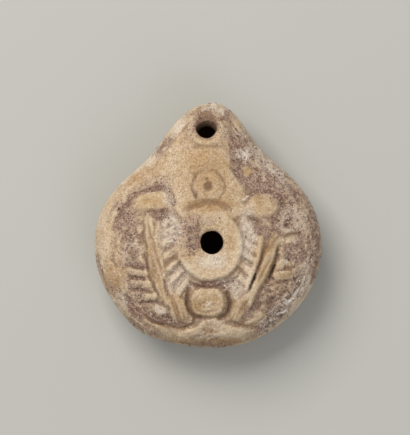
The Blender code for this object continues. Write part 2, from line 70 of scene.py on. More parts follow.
class Seed(IntEnum):
    """Seeds of the noises, so that each pattern is its own and the same on every run."""

    BEND_ACROSS = 3
    BEND_ALONG = 5
    LUMPS = 11
    WEAR = 17
    GRAIN = 23
    FLAKES = 29
    PITS = 37
    UNDER_WAVES = 41
    UNDER_GRAIN = 43
    HOLE_EDGE = 53
    SEAM_WEAR_AND_HIGHLIGHT = 59
    FRAY_ACROSS = 61
    FRAY_ALONG = 67
    FLANK_SLIP = 73
    THIN_LIME = 75
    THIN_EARTH = 76
    BROKEN_LINES = 83
    EDGE_STREAKS = 97
    STEM_LINES = 101


def linear_colour(code: str) -> tuple[float, float, float, float]:
    """Turn an sRGB hex colour into the linear colour that a shader takes.

    Args:
        code: Six hex digits.

    Returns:
        Red, green, blue and alpha.
    """
    # The numbers are those of the sRGB curve
    parts = [int(code[start:start + 2], 16) / 255.0 for start in (0, 2, 4)]
    linear = [part / 12.92 if part <= 0.04045 else ((part + 0.055) / 1.055) ** 2.4 for part in parts]
    return (linear[0], linear[1], linear[2], 1.0)


def add_node(tree: bpy.types.NodeTree, kind: str, settings: dict[str, object] | None = None,
             values: dict[int | str, object] | None = None,
             links: dict[int | str, bpy.types.NodeSocket] | None = None) -> bpy.types.Node:
    """Add a node with its settings, input values and input links.

    Args:
        tree: The node tree.
        kind: The node's type name.
        settings: Properties of the node itself.
        values: Input values by socket name or number.
        links: Output sockets to join to inputs, by socket name or number.

    Returns:
        The new node.
    """
    node = tree.nodes.new(kind)
    for name, value in (settings or {}).items():
        setattr(node, name, value)
    for key, value in (values or {}).items():
        node.inputs[key].default_value = value
    for key, socket in (links or {}).items():
        tree.links.new(socket, node.inputs[key])
    return node


def mix_colours(tree: bpy.types.NodeTree, share: bpy.types.NodeSocket, under: str | bpy.types.NodeSocket,
                over: str | bpy.types.NodeSocket) -> bpy.types.NodeSocket:
    """Mix two colours, each a hex code or the socket that brings it.

    Args:
        tree: The material's nodes.
        share: Share of the upper colour.
        under: The lower colour.
        over: The upper colour.

    Returns:
        The mixed colour's socket.
    """
    share_input, under_input, over_input, colour_output = 0, 6, 7, 2
    values, links = {}, {share_input: share}
    for place, colour in ((under_input, under), (over_input, over)):
        if isinstance(colour, str):
            values[place] = linear_colour(colour)
        else:
            links[place] = colour
    return add_node(tree, "ShaderNodeMix", {"data_type": "RGBA"}, values, links).outputs[colour_output]


def noise_level(tree: bpy.types.NodeTree, place: bpy.types.NodeSocket, size_mm: float, detail: float,
                roughness: float = 0.5) -> bpy.types.NodeSocket:
    """Give the level of a noise whose coarsest specks are about this many millimetres across."""
    return add_node(tree, "ShaderNodeTexNoise",
                    values={"Scale": 1.0 / (size_mm * MM), "Detail": detail, "Roughness": roughness},
                    links={"Vector": place}).outputs["Fac"]


def two_tones(tree: bpy.types.NodeTree, level: bpy.types.NodeSocket, light: str,
              dark: str) -> bpy.types.NodeSocket:
    """Turn from a light tone to a dark one over the middle fifth of a noise's range."""
    share = add_node(tree, "ShaderNodeMapRange", values={"From Min": 0.4, "From Max": 0.6},
                     links={"Value": level})
    return mix_colours(tree, share.outputs["Result"], light, dark)


def new_material(name: str) -> tuple[bpy.types.Material, bpy.types.NodeTree, bpy.types.NodeSocket]:
    """Start a material, and give it with its empty node tree and the object's own coordinates."""
    material = bpy.data.materials.new(name)
    material.use_nodes = True
    tree = material.node_tree
    tree.nodes.clear()
    return material, tree, add_node(tree, "ShaderNodeTexCoord").outputs["Object"]


def finish_matt(tree: bpy.types.NodeTree, colour: bpy.types.NodeSocket, grain: bpy.types.NodeSocket,
                finish: FiredClay | CrumbFinish) -> None:
    """Close a material as dull, bare clay or chalk, with its grain as a fine bump.

    Args:
        tree: The material's nodes.
        colour: The finished colour.
        grain: Level of the grain.
        finish: The finish, with its roughness, index and bump.
    """
    bump = add_node(tree, "ShaderNodeBump",
                    values={"Strength": finish.bump_strength, "Distance": finish.bump_mm * MM},
                    links={"Height": grain})
    shader = add_node(tree, "ShaderNodeBsdfPrincipled",
                      values={"Roughness": finish.roughness, "IOR": finish.ior, "Specular IOR Level": 0.2},
                      links={"Base Color": colour, "Normal": bump.outputs["Normal"]})
    add_node(tree, "ShaderNodeOutputMaterial", links={"Surface": shader.outputs["BSDF"]})


def soft_step(distance: Array, width: float) -> Array:
    """Give 1 inside an edge and 0 outside it, with a smooth slope of this width."""
    share = np.clip(0.5 - distance / width, 0.0, 1.0)
    return share * share * (3.0 - 2.0 * share)


def soft_line(distance: Array, width: float) -> Array:
    """Give 1 on a line and 0 from half the width outwards."""
    share = np.clip(1.0 - 2.0 * np.abs(distance) / width, 0.0, 1.0)
    return share * share * (3.0 - 2.0 * share)


def settle(height: Array, level: Array | float, cover: Array) -> Array:
    """Bring a surface to a level where the cover is 1."""
    return height + (level - height) * cover


def degrees_from_nozzle(angle: Array) -> Array:
    """Turn radians into degrees from the nozzle's direction, positive to the left."""
    return (np.degrees(angle) - 90.0 + 180.0) % 360.0 - 180.0


def oval_distance(x: Array, y: Array, centre: Point, half: Point, power: float = 2.0,
                  turn: float = 0.0) -> Array:
    """Nearly the signed distance to the edge of an oval or a rounded square.

    Args:
        x: Places across the lamp.
        y: Places along the lamp.
        centre: The oval's middle.
        half: Its half sizes.
        power: 2 for an oval, more for a squarer shape.
        turn: Degrees that it is turned to the left.

    Returns:
        Distances, negative inside.
    """
    cos, sin = math.cos(math.radians(turn)), math.sin(math.radians(turn))
    across = np.abs(((x - centre[0]) * cos + (y - centre[1]) * sin) / half[0])
    along = np.abs(((y - centre[1]) * cos - (x - centre[0]) * sin) / half[1])
    return ((across ** power + along ** power) ** (1.0 / power) - 1.0) * min(half)


def smooth_path(points: Sequence[Point], steps: int = 8) -> list[Point]:
    """Run a smooth curve through a few points.

    Args:
        points: The points, in order.
        steps: Straight pieces between two points.

    Returns:
        The curve's points.
    """
    ends = [points[0], *points, points[-1]]
    path = []
    for before, start, end, after in zip(ends, ends[1:], ends[2:], ends[3:]):
        for step in range(steps):
            t = step / steps
            path.append(tuple(
                0.5 * (2 * b + (c - a) * t + (2 * a - 5 * b + 4 * c - d) * t ** 2
                       + (3 * b - 3 * c + d - a) * t ** 3)
                for a, b, c, d in zip(before, start, end, after)
            ))
    path.append(tuple(points[-1]))
    return path


def path_distance(x: Array, y: Array, path: Sequence[Point]) -> tuple[Array, Array]:
    """Measure how far places lie from a path.

    Args:
        x: Places across the lamp.
        y: Places along the lamp.
        path: Points joined by straight lines.

    Returns:
        The distance to the path, and the share of the way along it.
    """
    nearest = np.full(x.shape, 1e9)
    along = np.zeros(x.shape)
    count = len(path) - 1
    for index, ((ax, ay), (bx, by)) in enumerate(zip(path, path[1:])):
        length = (bx - ax) ** 2 + (by - ay) ** 2
        share = np.clip(((x - ax) * (bx - ax) + (y - ay) * (by - ay)) / length, 0.0, 1.0)
        distance = np.hypot(x - ax - share * (bx - ax), y - ay - share * (by - ay))
        closer = distance < nearest
        nearest = np.where(closer, distance, nearest)
        along = np.where(closer, (index + share) / count, along)
    return nearest, along


def near_points(x: Array, y: Array, points: Sequence[Point], reach: float) -> Array:
    """Mark the places within reach of the box round some points, to save work elsewhere."""
    low_x, high_x = min(point[0] for point in points), max(point[0] for point in points)
    low_y, high_y = min(point[1] for point in points), max(point[1] for point in points)
    return (x > low_x - reach) & (x < high_x + reach) & (y > low_y - reach) & (y < high_y + reach)


@dataclass(frozen=True)
class GroundNoise:
    """Smooth repeatable noise on a lattice, the same on every run."""

    seed: int
    size: int = 48

    def at(self, points: Array, pitch: float) -> Array:
        """Read the noise, from 0 to 1.

        Args:
            points: Places as rows of x, y and z in millimetres.
            pitch: Size of one bump in millimetres.

        Returns:
            One value for each place.
        """
        lattice = np.random.default_rng(self.seed).random((self.size, self.size, self.size))
        cell = points / pitch + 500.0
        low = np.floor(cell).astype(int)
        part = cell - low
        part = part * part * (3.0 - 2.0 * part)
        total = np.zeros(len(points))
        for corner in itertools.product((0, 1), repeat=3):
            place = (low + np.array(corner)) % self.size
            weight = np.prod(np.where(np.array(corner) == 1, part, 1.0 - part), axis=1)
            total += weight * lattice[place[:, 0], place[:, 1], place[:, 2]]
        return total

    def layers(self, points: Array, pitch: float, count: int, fade: float = 0.55) -> Array:
        """Add finer and finer noise, from about 0 to 1.

        Args:
            points: Places as rows of x, y and z in millimetres.
            pitch: Size of the coarsest bumps in millimetres.
            count: Number of layers, each half the size of the one before.
            fade: Strength of a layer against the one before.

        Returns:
            One value for each place.
        """
        total = np.zeros(len(points))
        weight, whole = 1.0, 0.0
        for layer in range(count):
            total += weight * self.at(points + 17.3 * layer, pitch / 2 ** layer)
            whole += weight
            weight *= fade
        return total / whole


@dataclass(frozen=True)
class LampForm:
    """The lamp's plain form, the same as that of the solid: outline, section and walls."""

    half_width: float = 39.0
    half_depth: float = 34.65
    nozzle_reach: float = 14.3
    seam_height: float = 15.0
    dome_rise: float = 15.0
    base_radius: float = 15.0
    wall: float = 4.0
    nozzle_lean: float = -3.0
    nozzle_spread: tuple[float, float] = (24.4, 18.4)
    nozzle_power: tuple[float, float] = (2.17, 1.87)
    edge_swellings: tuple[tuple[float, float, float], ...] = (
        (44.0, -1.05, 24.0), (142.5, 1.0, 13.0), (-159.0, 0.6, 16.7), (103.0, -0.6, 24.0))
    dome_power: float = 2.5
    dome_roundness: float = 0.52
    bowl_power: float = 1.5
    bowl_roundness: float = 0.5
    pad_height: float = 0.8
    pad_edge: float = 0.9
    inner_nozzle_lean: float = -1.7
    inner_nozzle_reach: float = 14.1
    inner_nozzle_spread: float = 15.5
    filling_hole: Point = (1.5, 1.3)
    filling_radius: float = 4.0
    wick_hole: Point = (-0.3, 40.5)
    wick_radius: float = 3.75
    wick_slant: float = 0.6
    wick_narrowing: float = 0.2

    def oval_radius(self, angle: Array, inset: float = 0.0) -> Array:
        """Distance from the axis to the edge of the oval body, or to a line inside it."""
        width, depth = self.half_width - inset, self.half_depth - inset
        return width * depth / np.hypot(depth * np.cos(angle), width * np.sin(angle))

    def outer_radius(self, angle: Array) -> Array:
        """Distance from the axis to the seam of the two halves, nozzle included."""
        turn = degrees_from_nozzle(angle)
        offset = turn - self.nozzle_lean
        spread = np.where(offset > 0, self.nozzle_spread[0], self.nozzle_spread[1])
        power = np.where(offset > 0, self.nozzle_power[0], self.nozzle_power[1])
        radius = self.oval_radius(angle) + self.nozzle_reach * np.exp(-(np.abs(offset) / spread) ** power)
        for place, depth, width in self.edge_swellings:
            away = (turn - place + 180.0) % 360.0 - 180.0
            radius = radius + depth * np.exp(-(away / width) ** 2)
        return radius

    def inner_radius(self, angle: Array) -> Array:
        """Distance from the axis to the chamber's widest line."""
        offset = degrees_from_nozzle(angle) - self.inner_nozzle_lean
        reach = self.inner_nozzle_reach * np.exp(-(offset / self.inner_nozzle_spread) ** 2)
        return self.oval_radius(angle, self.wall) + reach

    def dome(self, share: Array | float, rise: float) -> Array | float:
        """Height of the domed top over the seam, by the share of the way to the edge."""
        return rise * np.clip(1.0 - share ** self.dome_power, 0.0, 1.0) ** self.dome_roundness

    def bowl(self, share: Array | float) -> Array | float:
        """Height of the underside over the table, by the share of the way from the base to the edge."""
        rise = 1.0 - np.clip(1.0 - share ** self.bowl_power, 0.0, 1.0) ** self.bowl_roundness
        return self.pad_height + (self.seam_height - self.pad_height) * rise


@dataclass(frozen=True)
class Groove:
    """A soft line pressed into the clay. A negative depth raises a thin ridge instead."""

    points: tuple[Point, ...]
    depth: float
    width: float
    taper: float = 0.0

    def carve(self, x: Array, y: Array, height: Array) -> None:
        """Sink the surface along the line, less towards its far end by the taper."""
        near = near_points(x, y, self.points, 0.5 * self.width + 1.0)
        line, along = path_distance(x[near], y[near], smooth_path(self.points))
        height[near] -= self.depth * (1.0 - self.taper * along) * soft_line(line, self.width)


@dataclass(frozen=True)
class Lobe:
    """An oval brought to a level of its own, crowned towards its middle, with a soft edge."""

    centre: Point
    half: Point
    level: float
    crown: float = 0.0
    edge: float = 1.1
    power: float = 2.0
    turn: float = 0.0

    def shape(self, x: Array, y: Array, height: Array) -> None:
        """Bring the surface inside the oval to its level."""
        near = near_points(x, y, (self.centre,), max(self.half) + self.edge)
        distance = oval_distance(x[near], y[near], self.centre, self.half, self.power, self.turn)
        way = np.clip(1.0 + distance / min(self.half), 0.0, 2.0)
        level = self.level + self.crown * (1.0 - way ** 2)
        height[near] = settle(height[near], level, soft_step(distance, self.edge))


@dataclass(frozen=True)
class Dent:
    """An oval dent, pit or chip that follows the surface it is in."""

    centre: Point
    half: Point
    depth: float
    edge: float = 0.7
    turn: float = 0.0

    def press(self, x: Array, y: Array, height: Array) -> None:
        """Sink the surface inside the oval."""
        near = near_points(x, y, (self.centre,), max(self.half) + self.edge)
        distance = oval_distance(x[near], y[near], self.centre, self.half, turn=self.turn)
        height[near] -= self.depth * soft_step(distance, self.edge)


@dataclass(frozen=True)
class Sector:
    """A range of directions round a point, in degrees from the nozzle's, with soft ends."""

    half: float
    fade: float
    middle: float = 0.0

    def share(self, turn: Array) -> Array:
        """Give 1 within the range and 0 outside it."""
        return soft_step(np.abs(turn - self.middle) - self.half, self.fade)


@dataclass(frozen=True)
class LeafRow:
    """One row of leaflets along a stem, whose places and turns change evenly down the row."""

    root: Point
    drop: float
    bend: float
    turn: float
    turn_step: float
    length: float
    wear: tuple[float, ...]
    width: float = 2.7
    rise: float = 0.6
    gap_depth: float = 0.45
    gap_width: float = 1.3

    def add(self, x: Array, y: Array, height: Array) -> None:
        """Raise each leaflet as far as it isn't worn away, and sink the gap below it."""
        for index, left in enumerate(self.wear):
            root = (self.root[0] + self.bend * index ** 2, self.root[1] - self.drop * index)
            turn = math.radians(self.turn + self.turn_step * index)
            tip = (root[0] + self.length * math.cos(turn), root[1] + self.length * math.sin(turn))
            near = near_points(x, y, (root, tip), self.drop)
            distance, along = path_distance(x[near], y[near], [root, tip])
            crown = np.sqrt(np.clip(1.0 - (2.0 * distance / self.width) ** 2, 0.0, 1.0))
            height[near] += self.rise * left * crown * (1.0 - 0.45 * along)
            low_root = (root[0] + 0.15 * (tip[0] - root[0]), root[1] - 0.5 * self.drop)
            low_tip = (tip[0], tip[1] - 0.5 * self.drop)
            Groove((low_root, low_tip), self.gap_depth * left, self.gap_width, taper=0.6).carve(x, y, height)


@dataclass(frozen=True)
class ShoulderRelief:
    """The carving on the lamp's top, as heights over the smooth dome."""

    form: LampForm
    field_centre: Point = (0.0, -3.0)
    field_half: Point = (33.0, 25.0)
    field_power: float = 2.8
    field_corner: float = 6.0
    field_depth: float = 0.75
    border_bulge: Lobe = Lobe((-31.2, -12.8), (4.2, 5.4), 0.0)
    neck_half_width: float = 11.2
    neck_centre: float = 0.5
    neck_foot: float = 12.0
    disc_centre: Point = (0.9, 0.2)
    disc_half: Point = (11.5, 12.4)
    disc_rise: float = 1.0
    disc_edge: float = 1.4
    disc_dish: float = 1.1
    dish_radius: float = 6.2
    dish_width: float = 8.0
    upper_moat: Sector = Sector(32.0, 14.0)
    upper_moat_depth: float = 0.75
    upper_moat_away: float = 2.0
    upper_moat_width: float = 3.0
    lower_moat_start: float = 130.0
    lower_moat_fade: float = 50.0
    lower_moat_depth: float = 0.7
    lower_moat_away: float = 1.9
    lower_moat_width: float = 1.9
    worn_side: Sector = Sector(50.0, 40.0, middle=60.0)
    worn_drop: float = 0.35
    worn_edge: float = 3.0
    lip_width: float = 0.9
    lip_drop: float = 0.35
    boss: Lobe = Lobe((0.2, -19.0), (5.4, 4.8), 0.5, crown=0.6, edge=1.0, power=2.8)
    panel_edge: tuple[Point, ...] = (
        (13.4, 12.7), (12.5, 17.3), (11.2, 20.4), (9.7, 22.8), (7.9, 25.9), (7.6, 28.9), (7.4, 34.0))
    panel_softness: float = 1.3
    panel_foot: float = 14.0
    panel_head: float = 38.0
    panel_drop: float = 0.35
    ring_centre: Point = (0.4, 20.2)
    ring_radius: float = 5.5
    ring_width: float = 1.5
    ring_depth: float = 0.4
    ring_line: Sector = Sector(146.0, 14.0)
    ring_faint: Sector = Sector(38.0, 30.0)
    ring_faintness: float = 0.7
    dot_radius: float = 1.6
    dot_depth: float = 0.7
    core_radius: float = 0.5
    core_rise: float = 0.45
    mouth_shift: float = 0.4
    mouth_radius: float = 7.0
    mouth_rise: float = 0.4
    mouth_edge: float = 1.6
    funnel_shift: float = 0.4
    funnel_width: float = 4.0
    funnel_depth: float = 1.2
    tail_crest: tuple[Point, ...] = (
        (-12.0, -31.0), (-7.5, -29.1), (-3.9, -27.4), (-0.8, -25.3), (3.0, -24.8), (6.7, -26.7),
        (15.5, -29.3))
    tail_rise: float = 1.1
    tail_slope: float = 6.5
    tail_step: float = 1.4
    tail_middle: float = 1.8
    tail_half_length: float = 12.0
    tail_fade: float = 5.0
    left_stem: tuple[Point, ...] = (
        (-18.8, 9.5), (-18.1, 3.0), (-17.3, -3.5), (-16.8, -8.0), (-15.9, -13.0), (-14.2, -17.5),
        (-9.6, -23.6))
    left_stem_width: float = 4.9
    left_stem_rise: float = -0.45
    left_stem_edge: float = 1.4
    right_stem: tuple[Point, ...] = (
        (23.1, 3.0), (22.2, -0.8), (20.8, -4.2), (19.7, -7.6), (18.1, -10.8), (16.6, -13.8), (14.6, -17.3),
        (12.8, -19.8), (9.6, -23.8))
    right_stem_width: float = 3.4
    right_stem_rise: float = 0.7
    right_stem_crown: float = 0.12
    strip: tuple[Point, ...] = (
        (18.1, 2.6), (17.8, -0.5), (16.9, -4.4), (15.8, -7.6), (14.6, -11.1), (13.4, -14.6))
    strip_half_width: float = 0.8
    strip_rise: float = 0.45
    rows: tuple[LeafRow, ...] = (
        LeafRow((-21.2, -0.6), 4.1, 0.2, 170.0, 2.5, 6.4, (0.15, 0.35, 1.0, 0.9, 0.9)),
        LeafRow((-15.2, 4.8), 4.2, 0.22, 20.0, 8.0, 5.2, (0.4, 0.5, 0.7, 1.0, 0.9, 1.0), width=2.2, rise=0.8,
                gap_depth=0.5),
        LeafRow((25.3, 1.8), 4.05, -0.16, 7.0, 1.0, 6.2, (0.7, 0.25, 0.6, 1.0, 0.45), width=3.0),
        LeafRow((17.0, 2.2), 3.7, -0.22, 148.0, -2.0, 4.6, (0.5, 0.8, 1.0, 1.0, 0.9), width=2.3, rise=0.9,
                gap_depth=0.6),
    )
    knobs: tuple[Lobe, ...] = (
        Lobe((-18.8, 15.3), (6.3, 3.3), 0.05, crown=0.6, edge=2.0, power=2.3, turn=3.0),
        Lobe((19.6, 14.3), (5.1, 3.9), 0.05, crown=0.7, edge=2.2, power=2.2),
    )
    feet: tuple[Lobe, ...] = (
        Lobe((-10.2, -21.0), (3.3, 5.0), 0.3, crown=0.35, edge=1.7, turn=36.0),
        Lobe((11.4, -21.4), (2.7, 4.2), 0.25, crown=0.35, edge=1.7, turn=-36.0),
        Lobe((16.3, -24.4), (4.1, 2.3), -0.1, crown=0.35, edge=1.8, turn=8.0),
        Lobe((-16.3, -21.6), (3.2, 2.1), -0.15, crown=0.3, edge=1.8, turn=-14.0),
        Lobe((-22.8, 5.7), (1.3, 1.6), -0.45, crown=0.3, edge=0.9),
    )
    grooves: tuple[Groove, ...] = (
        Groove(((-20.9, 9.4), (-20.4, 6.6), (-19.9, 0.0), (-19.6, -4.0), (-18.9, -8.6), (-17.2, -13.6),
                (-15.6, -17.0)), -0.75, 1.2),
        Groove(((-16.7, 7.6), (-16.4, 3.3), (-15.4, -3.3), (-14.8, -8.3), (-14.2, -11.5)), -0.65, 1.1),
        Groove(((-18.4, 9.8), (-18.1, 5.0), (-17.8, 0.0)), 0.4, 1.9, 0.5),
        Groove(((-21.0, -2.7), (-20.2, -8.6), (-18.6, -13.3), (-17.4, -16.0)), 0.65, 0.9),
        Groove(((-14.6, -11.4), (-13.4, -17.2)), 0.7, 1.0),
        Groove(((-22.2, 8.6), (-21.5, 2.0)), 0.25, 1.4),
        Groove(((-24.2, 14.2), (-22.0, 17.0), (-18.0, 18.4), (-14.6, 17.7), (-12.6, 14.8)), -0.35, 1.0),
        Groove(((-14.9, 5.7), (-12.0, 6.9)), 0.45, 1.0),
        Groove(((-14.0, 0.4), (-11.2, 1.5)), 0.45, 1.0),
        Groove(((-13.6, -3.4), (-11.4, -2.0)), 0.35, 1.0),
        Groove(((26.6, 1.3), (29.5, 2.1), (32.4, 2.4)), -0.4, 1.2),
        Groove(((14.0, 10.8), (16.4, 10.6), (17.8, 9.0)), -0.3, 0.9),
        Groove(((19.9, 0.1), (18.7, -3.5), (17.5, -7.0), (16.4, -10.0), (15.2, -12.6), (14.0, -14.8)),
               0.6, 1.3),
        Groove(((16.6, -9.4), (14.4, -13.9)), 0.75, 1.1),
        Groove(((24.2, 0.1), (23.7, -2.9), (22.8, -6.4), (22.2, -8.8), (21.5, -10.3), (20.4, -12.3)),
               0.7, 1.3),
        Groove(((22.8, -6.4), (21.4, -10.2)), 1.0, 1.4),
        Groove(((-27.0, 15.5), (-24.9, 17.3), (-21.2, 19.2), (-18.1, 20.3), (-14.5, 21.0)), 0.3, 3.4),
        Groove(((-27.0, 15.5), (-28.3, 13.4), (-30.4, 12.2)), 0.3, 2.4),
        Groove(((-13.6, 18.2), (-12.4, 15.6), (-11.4, 13.8)), 0.35, 0.9),
        Groove(((17.0, 18.3), (14.9, 15.5), (13.7, 12.8), (13.4, 10.9)), -0.3, 1.1),
        Groove(((18.6, 18.4), (21.5, 18.7), (24.4, 17.6), (25.8, 15.9)), 0.5, 1.1),
        Groove(((-6.4, -14.6), (-6.9, -18.8), (-6.3, -21.7), (-4.8, -23.4), (-2.4, -24.1)), 1.0, 1.9),
        Groove(((6.7, -16.0), (7.5, -19.0), (7.2, -21.6), (6.0, -23.8), (4.0, -24.4)), 1.0, 2.3),
        Groove(((-21.4, -23.6), (-18.9, -25.6), (-14.2, -26.9), (-10.7, -27.7), (-7.4, -27.8), (-5.2, -26.3),
                (-4.3, -24.1)), 0.75, 1.6),
        Groove(((-16.4, -25.7), (-13.0, -26.1), (-9.6, -26.7)), -0.2, 0.9),
        Groove(((7.8, -25.9), (10.8, -26.5), (14.0, -27.5), (18.2, -27.7)), 0.7, 1.4),
        Groove(((-19.5, -19.1), (-17.7, -19.1), (-15.1, -19.8), (-12.9, -21.3)), 0.6, 1.0),
        Groove(((18.7, -15.3), (21.1, -16.4), (24.0, -15.6), (26.4, -14.7)), -0.35, 1.2),
        Groove(((19.0, -13.4), (21.4, -14.2), (24.4, -13.4)), -0.25, 1.0),
        Groove(((23.4, -18.9), (25.2, -17.2), (26.9, -15.0)), 0.5, 1.1),
        Groove(((22.6, -18.3), (24.4, -16.5), (26.0, -14.2)), -0.2, 1.0),
        Groove(((21.1, -23.0), (19.9, -25.9), (18.4, -28.0)), 0.5, 1.2),
        Groove(((-6.2, 25.0), (-4.0, 24.2)), 0.3, 1.1),
        Groove(((-6.4, 33.2), (0.0, 34.0), (6.8, 33.6)), 0.25, 1.4),
        Groove(((-6.8, 32.0), (0.0, 32.6), (7.3, 32.5)), -0.18, 1.5),
        Groove(((7.4, 32.4), (7.6, 28.9), (7.9, 25.9), (9.7, 22.8), (11.2, 20.4), (12.5, 17.3)), -0.2, 1.1),
        Groove(((26.4, 3.3), (28.8, 4.1), (32.2, 4.1)), 0.45, 1.3),
        Groove(((-9.9, 40.4), (-12.6, 37.6), (-16.8, 31.8)), 0.3, 1.6),
        Groove(((-5.8, -31.4), (-1.0, -30.0), (2.2, -28.6)), 0.35, 1.1),
        Groove(((-1.2, -32.6), (0.6, -31.6), (3.2, -30.9)), -0.3, 1.0),
        Groove(((0.4, -29.8), (3.4, -30.6), (6.2, -30.4)), -0.3, 1.0),
        Groove(((-1.4, -16.4), (-3.7, -17.8), (-4.4, -19.9), (-3.2, -21.8), (-0.8, -22.5), (2.0, -22.0)),
               0.3, 1.1),
        Groove(((1.5, -18.7), (0.1, -18.2), (-1.2, -19.2), (-0.8, -20.6), (0.7, -20.9), (1.6, -20.0)),
               0.28, 0.9),
        Groove(((-13.7, -8.3), (-11.8, -6.6), (-9.8, -4.7)), -0.5, 1.0),
        Groove(((-12.6, -9.9), (-10.6, -8.0), (-8.9, -6.2)), 0.4, 1.0),
        Groove(((-10.4, -15.6), (-8.9, -13.8), (-7.1, -11.6)), -0.5, 1.1),
        Groove(((-11.6, -13.0), (-9.8, -11.0), (-8.3, -9.2)), 0.4, 1.1),
        Groove(((-27.6, -0.4), (-28.2, -3.4), (-27.2, -6.0)), -0.3, 0.9),
        Groove(((-26.6, 0.8), (-24.4, 0.9), (-22.8, -0.8)), -0.3, 0.9),
        Groove(((11.6, -3.6), (15.4, -5.4)), 0.4, 1.0),
        Groove(((-22.2, -7.6), (-24.4, -7.0), (-27.4, -6.6)), 0.8, 1.7, 0.5),
        Groove(((-21.3, -11.2), (-23.4, -10.8), (-26.0, -10.8)), 0.7, 1.5, 0.4),
        Groove(((-18.9, -15.8), (-22.4, -15.0), (-25.0, -14.8)), 0.6, 1.5, 0.3),
    )
    dents: tuple[Dent, ...] = (
        Dent((-25.7, -2.6), (2.6, 4.0), 0.35, 1.4), Dent((-25.3, -3.6), (0.8, 1.0), 0.25),
        Dent((-17.2, 10.8), (3.2, 1.9), 0.5, 1.5, -14.0), Dent((-3.2, -20.9), (1.3, 2.0), 0.3, 1.4, 24.0),
        Dent((2.9, -17.6), (1.6, 0.9), 0.18, 1.2, -20.0),
        Dent((-29.6, 11.9), (1.2, 1.1), 0.45, 1.0), Dent((-20.6, 15.6), (1.6, 0.9), 0.25, 1.0, 20.0),
        Dent((-16.4, 14.8), (1.4, 0.9), 0.2, 1.0, -30.0), Dent((18.0, 14.6), (1.0, 1.8), 0.2, 1.0),
        Dent((-3.9, 17.6), (0.8, 1.1), 0.45), Dent((-0.4, 22.7), (0.5, 0.6), 0.35),
        Dent((27.55, -4.7), (0.45, 0.45), 0.7), Dent((22.4, -11.1), (0.45, 0.45), 0.7),
        Dent((22.0, -17.9), (0.4, 0.4), 0.6), Dent((17.8, -17.6), (0.7, 0.45), 0.6, turn=40.0),
        Dent((31.4, 14.8), (1.2, 1.4), 0.25), Dent((26.4, -7.4), (0.35, 0.9), 0.45),
        Dent((27.4, -7.4), (0.3, 0.8), 0.4), Dent((28.4, -7.2), (0.3, 0.7), 0.35),
        Dent((-12.9, 40.6), (0.8, 0.8), 0.3), Dent((15.4, 9.3), (1.6, 0.9), 0.5, 0.8, -26.0),
        Dent((27.3, 7.9), (1.9, 0.9), 0.6, 0.9, 58.0),
    )

    def heights(self, x: Array, y: Array) -> Array:
        """Measure the whole relief.

        Args:
            x: Places across the lamp.
            y: Places along the lamp.

        Returns:
            Heights over the smooth dome.
        """
        height = self.carve_field(x, y)
        for row in self.rows:
            row.add(x, y, height)
        height = self.add_stems(x, y, height)
        for lobe in (*self.feet, *self.knobs):
            lobe.shape(x, y, height)
        height = self.add_tail(x, y, height)
        height = self.add_disc(x, y, height)
        self.boss.shape(x, y, height)
        for groove in self.grooves:
            groove.carve(x, y, height)
        height = self.add_neck(x, y, height)
        height = self.add_mouth(x, y, height)
        for dent in self.dents:
            dent.press(x, y, height)
        return height

    def field_edge(self, x: Array, y: Array) -> Array:
        """Nearly the signed distance to the edge of the sunk ground of the two branches."""
        border = oval_distance(x, y, self.field_centre, self.field_half, self.field_power)
        beside = self.neck_half_width - np.abs(x - self.neck_centre) - np.maximum(self.neck_foot - y, 0.0)
        border, beside = border + self.field_corner, beside + self.field_corner
        corner = np.hypot(np.maximum(border, 0.0), np.maximum(beside, 0.0))
        edge = np.maximum(corner, np.maximum(border, beside)) - self.field_corner
        bulge = oval_distance(x, y, self.border_bulge.centre, self.border_bulge.half)
        return np.maximum(edge, -bulge)

    def carve_field(self, x: Array, y: Array) -> Array:
        """Sink the ground of the branches, with an edge that is worn soft on the right."""
        softness = 1.4 + 2.6 * soft_step(-x, 20.0)
        return -self.field_depth * soft_step(self.field_edge(x, y) / softness, 1.0)

    def add_stems(self, x: Array, y: Array, height: Array) -> Array:
        """Raise the flat left stem, the rounded right one and the thin strip beside it."""
        left, _ = path_distance(x, y, smooth_path(self.left_stem))
        on_left = soft_step(left - 0.5 * self.left_stem_width, self.left_stem_edge)
        height = settle(height, self.left_stem_rise, on_left)
        strip, _ = path_distance(x, y, smooth_path(self.strip))
        height = settle(height, self.strip_rise, soft_step(strip - self.strip_half_width, 1.0))
        right, _ = path_distance(x, y, smooth_path(self.right_stem))
        crown = self.right_stem_rise - self.right_stem_crown * right ** 2
        return settle(height, crown, soft_step(right - 0.5 * self.right_stem_width, 1.0))

    def add_tail(self, x: Array, y: Array, height: Array) -> Array:
        """Raise the mound behind the boss, steep on its upper side and gentle towards the edge."""
        crest = smooth_path(self.tail_crest)
        crest_y = np.interp(x, [point[0] for point in crest], [point[1] for point in crest])
        below = crest_y - y
        ends = soft_step(np.abs(x - self.tail_middle) - self.tail_half_length, self.tail_fade)
        slope = np.clip(1.0 - below / self.tail_slope, 0.0, 1.0)
        return height + self.tail_rise * ends * soft_step(-below, self.tail_step) * slope

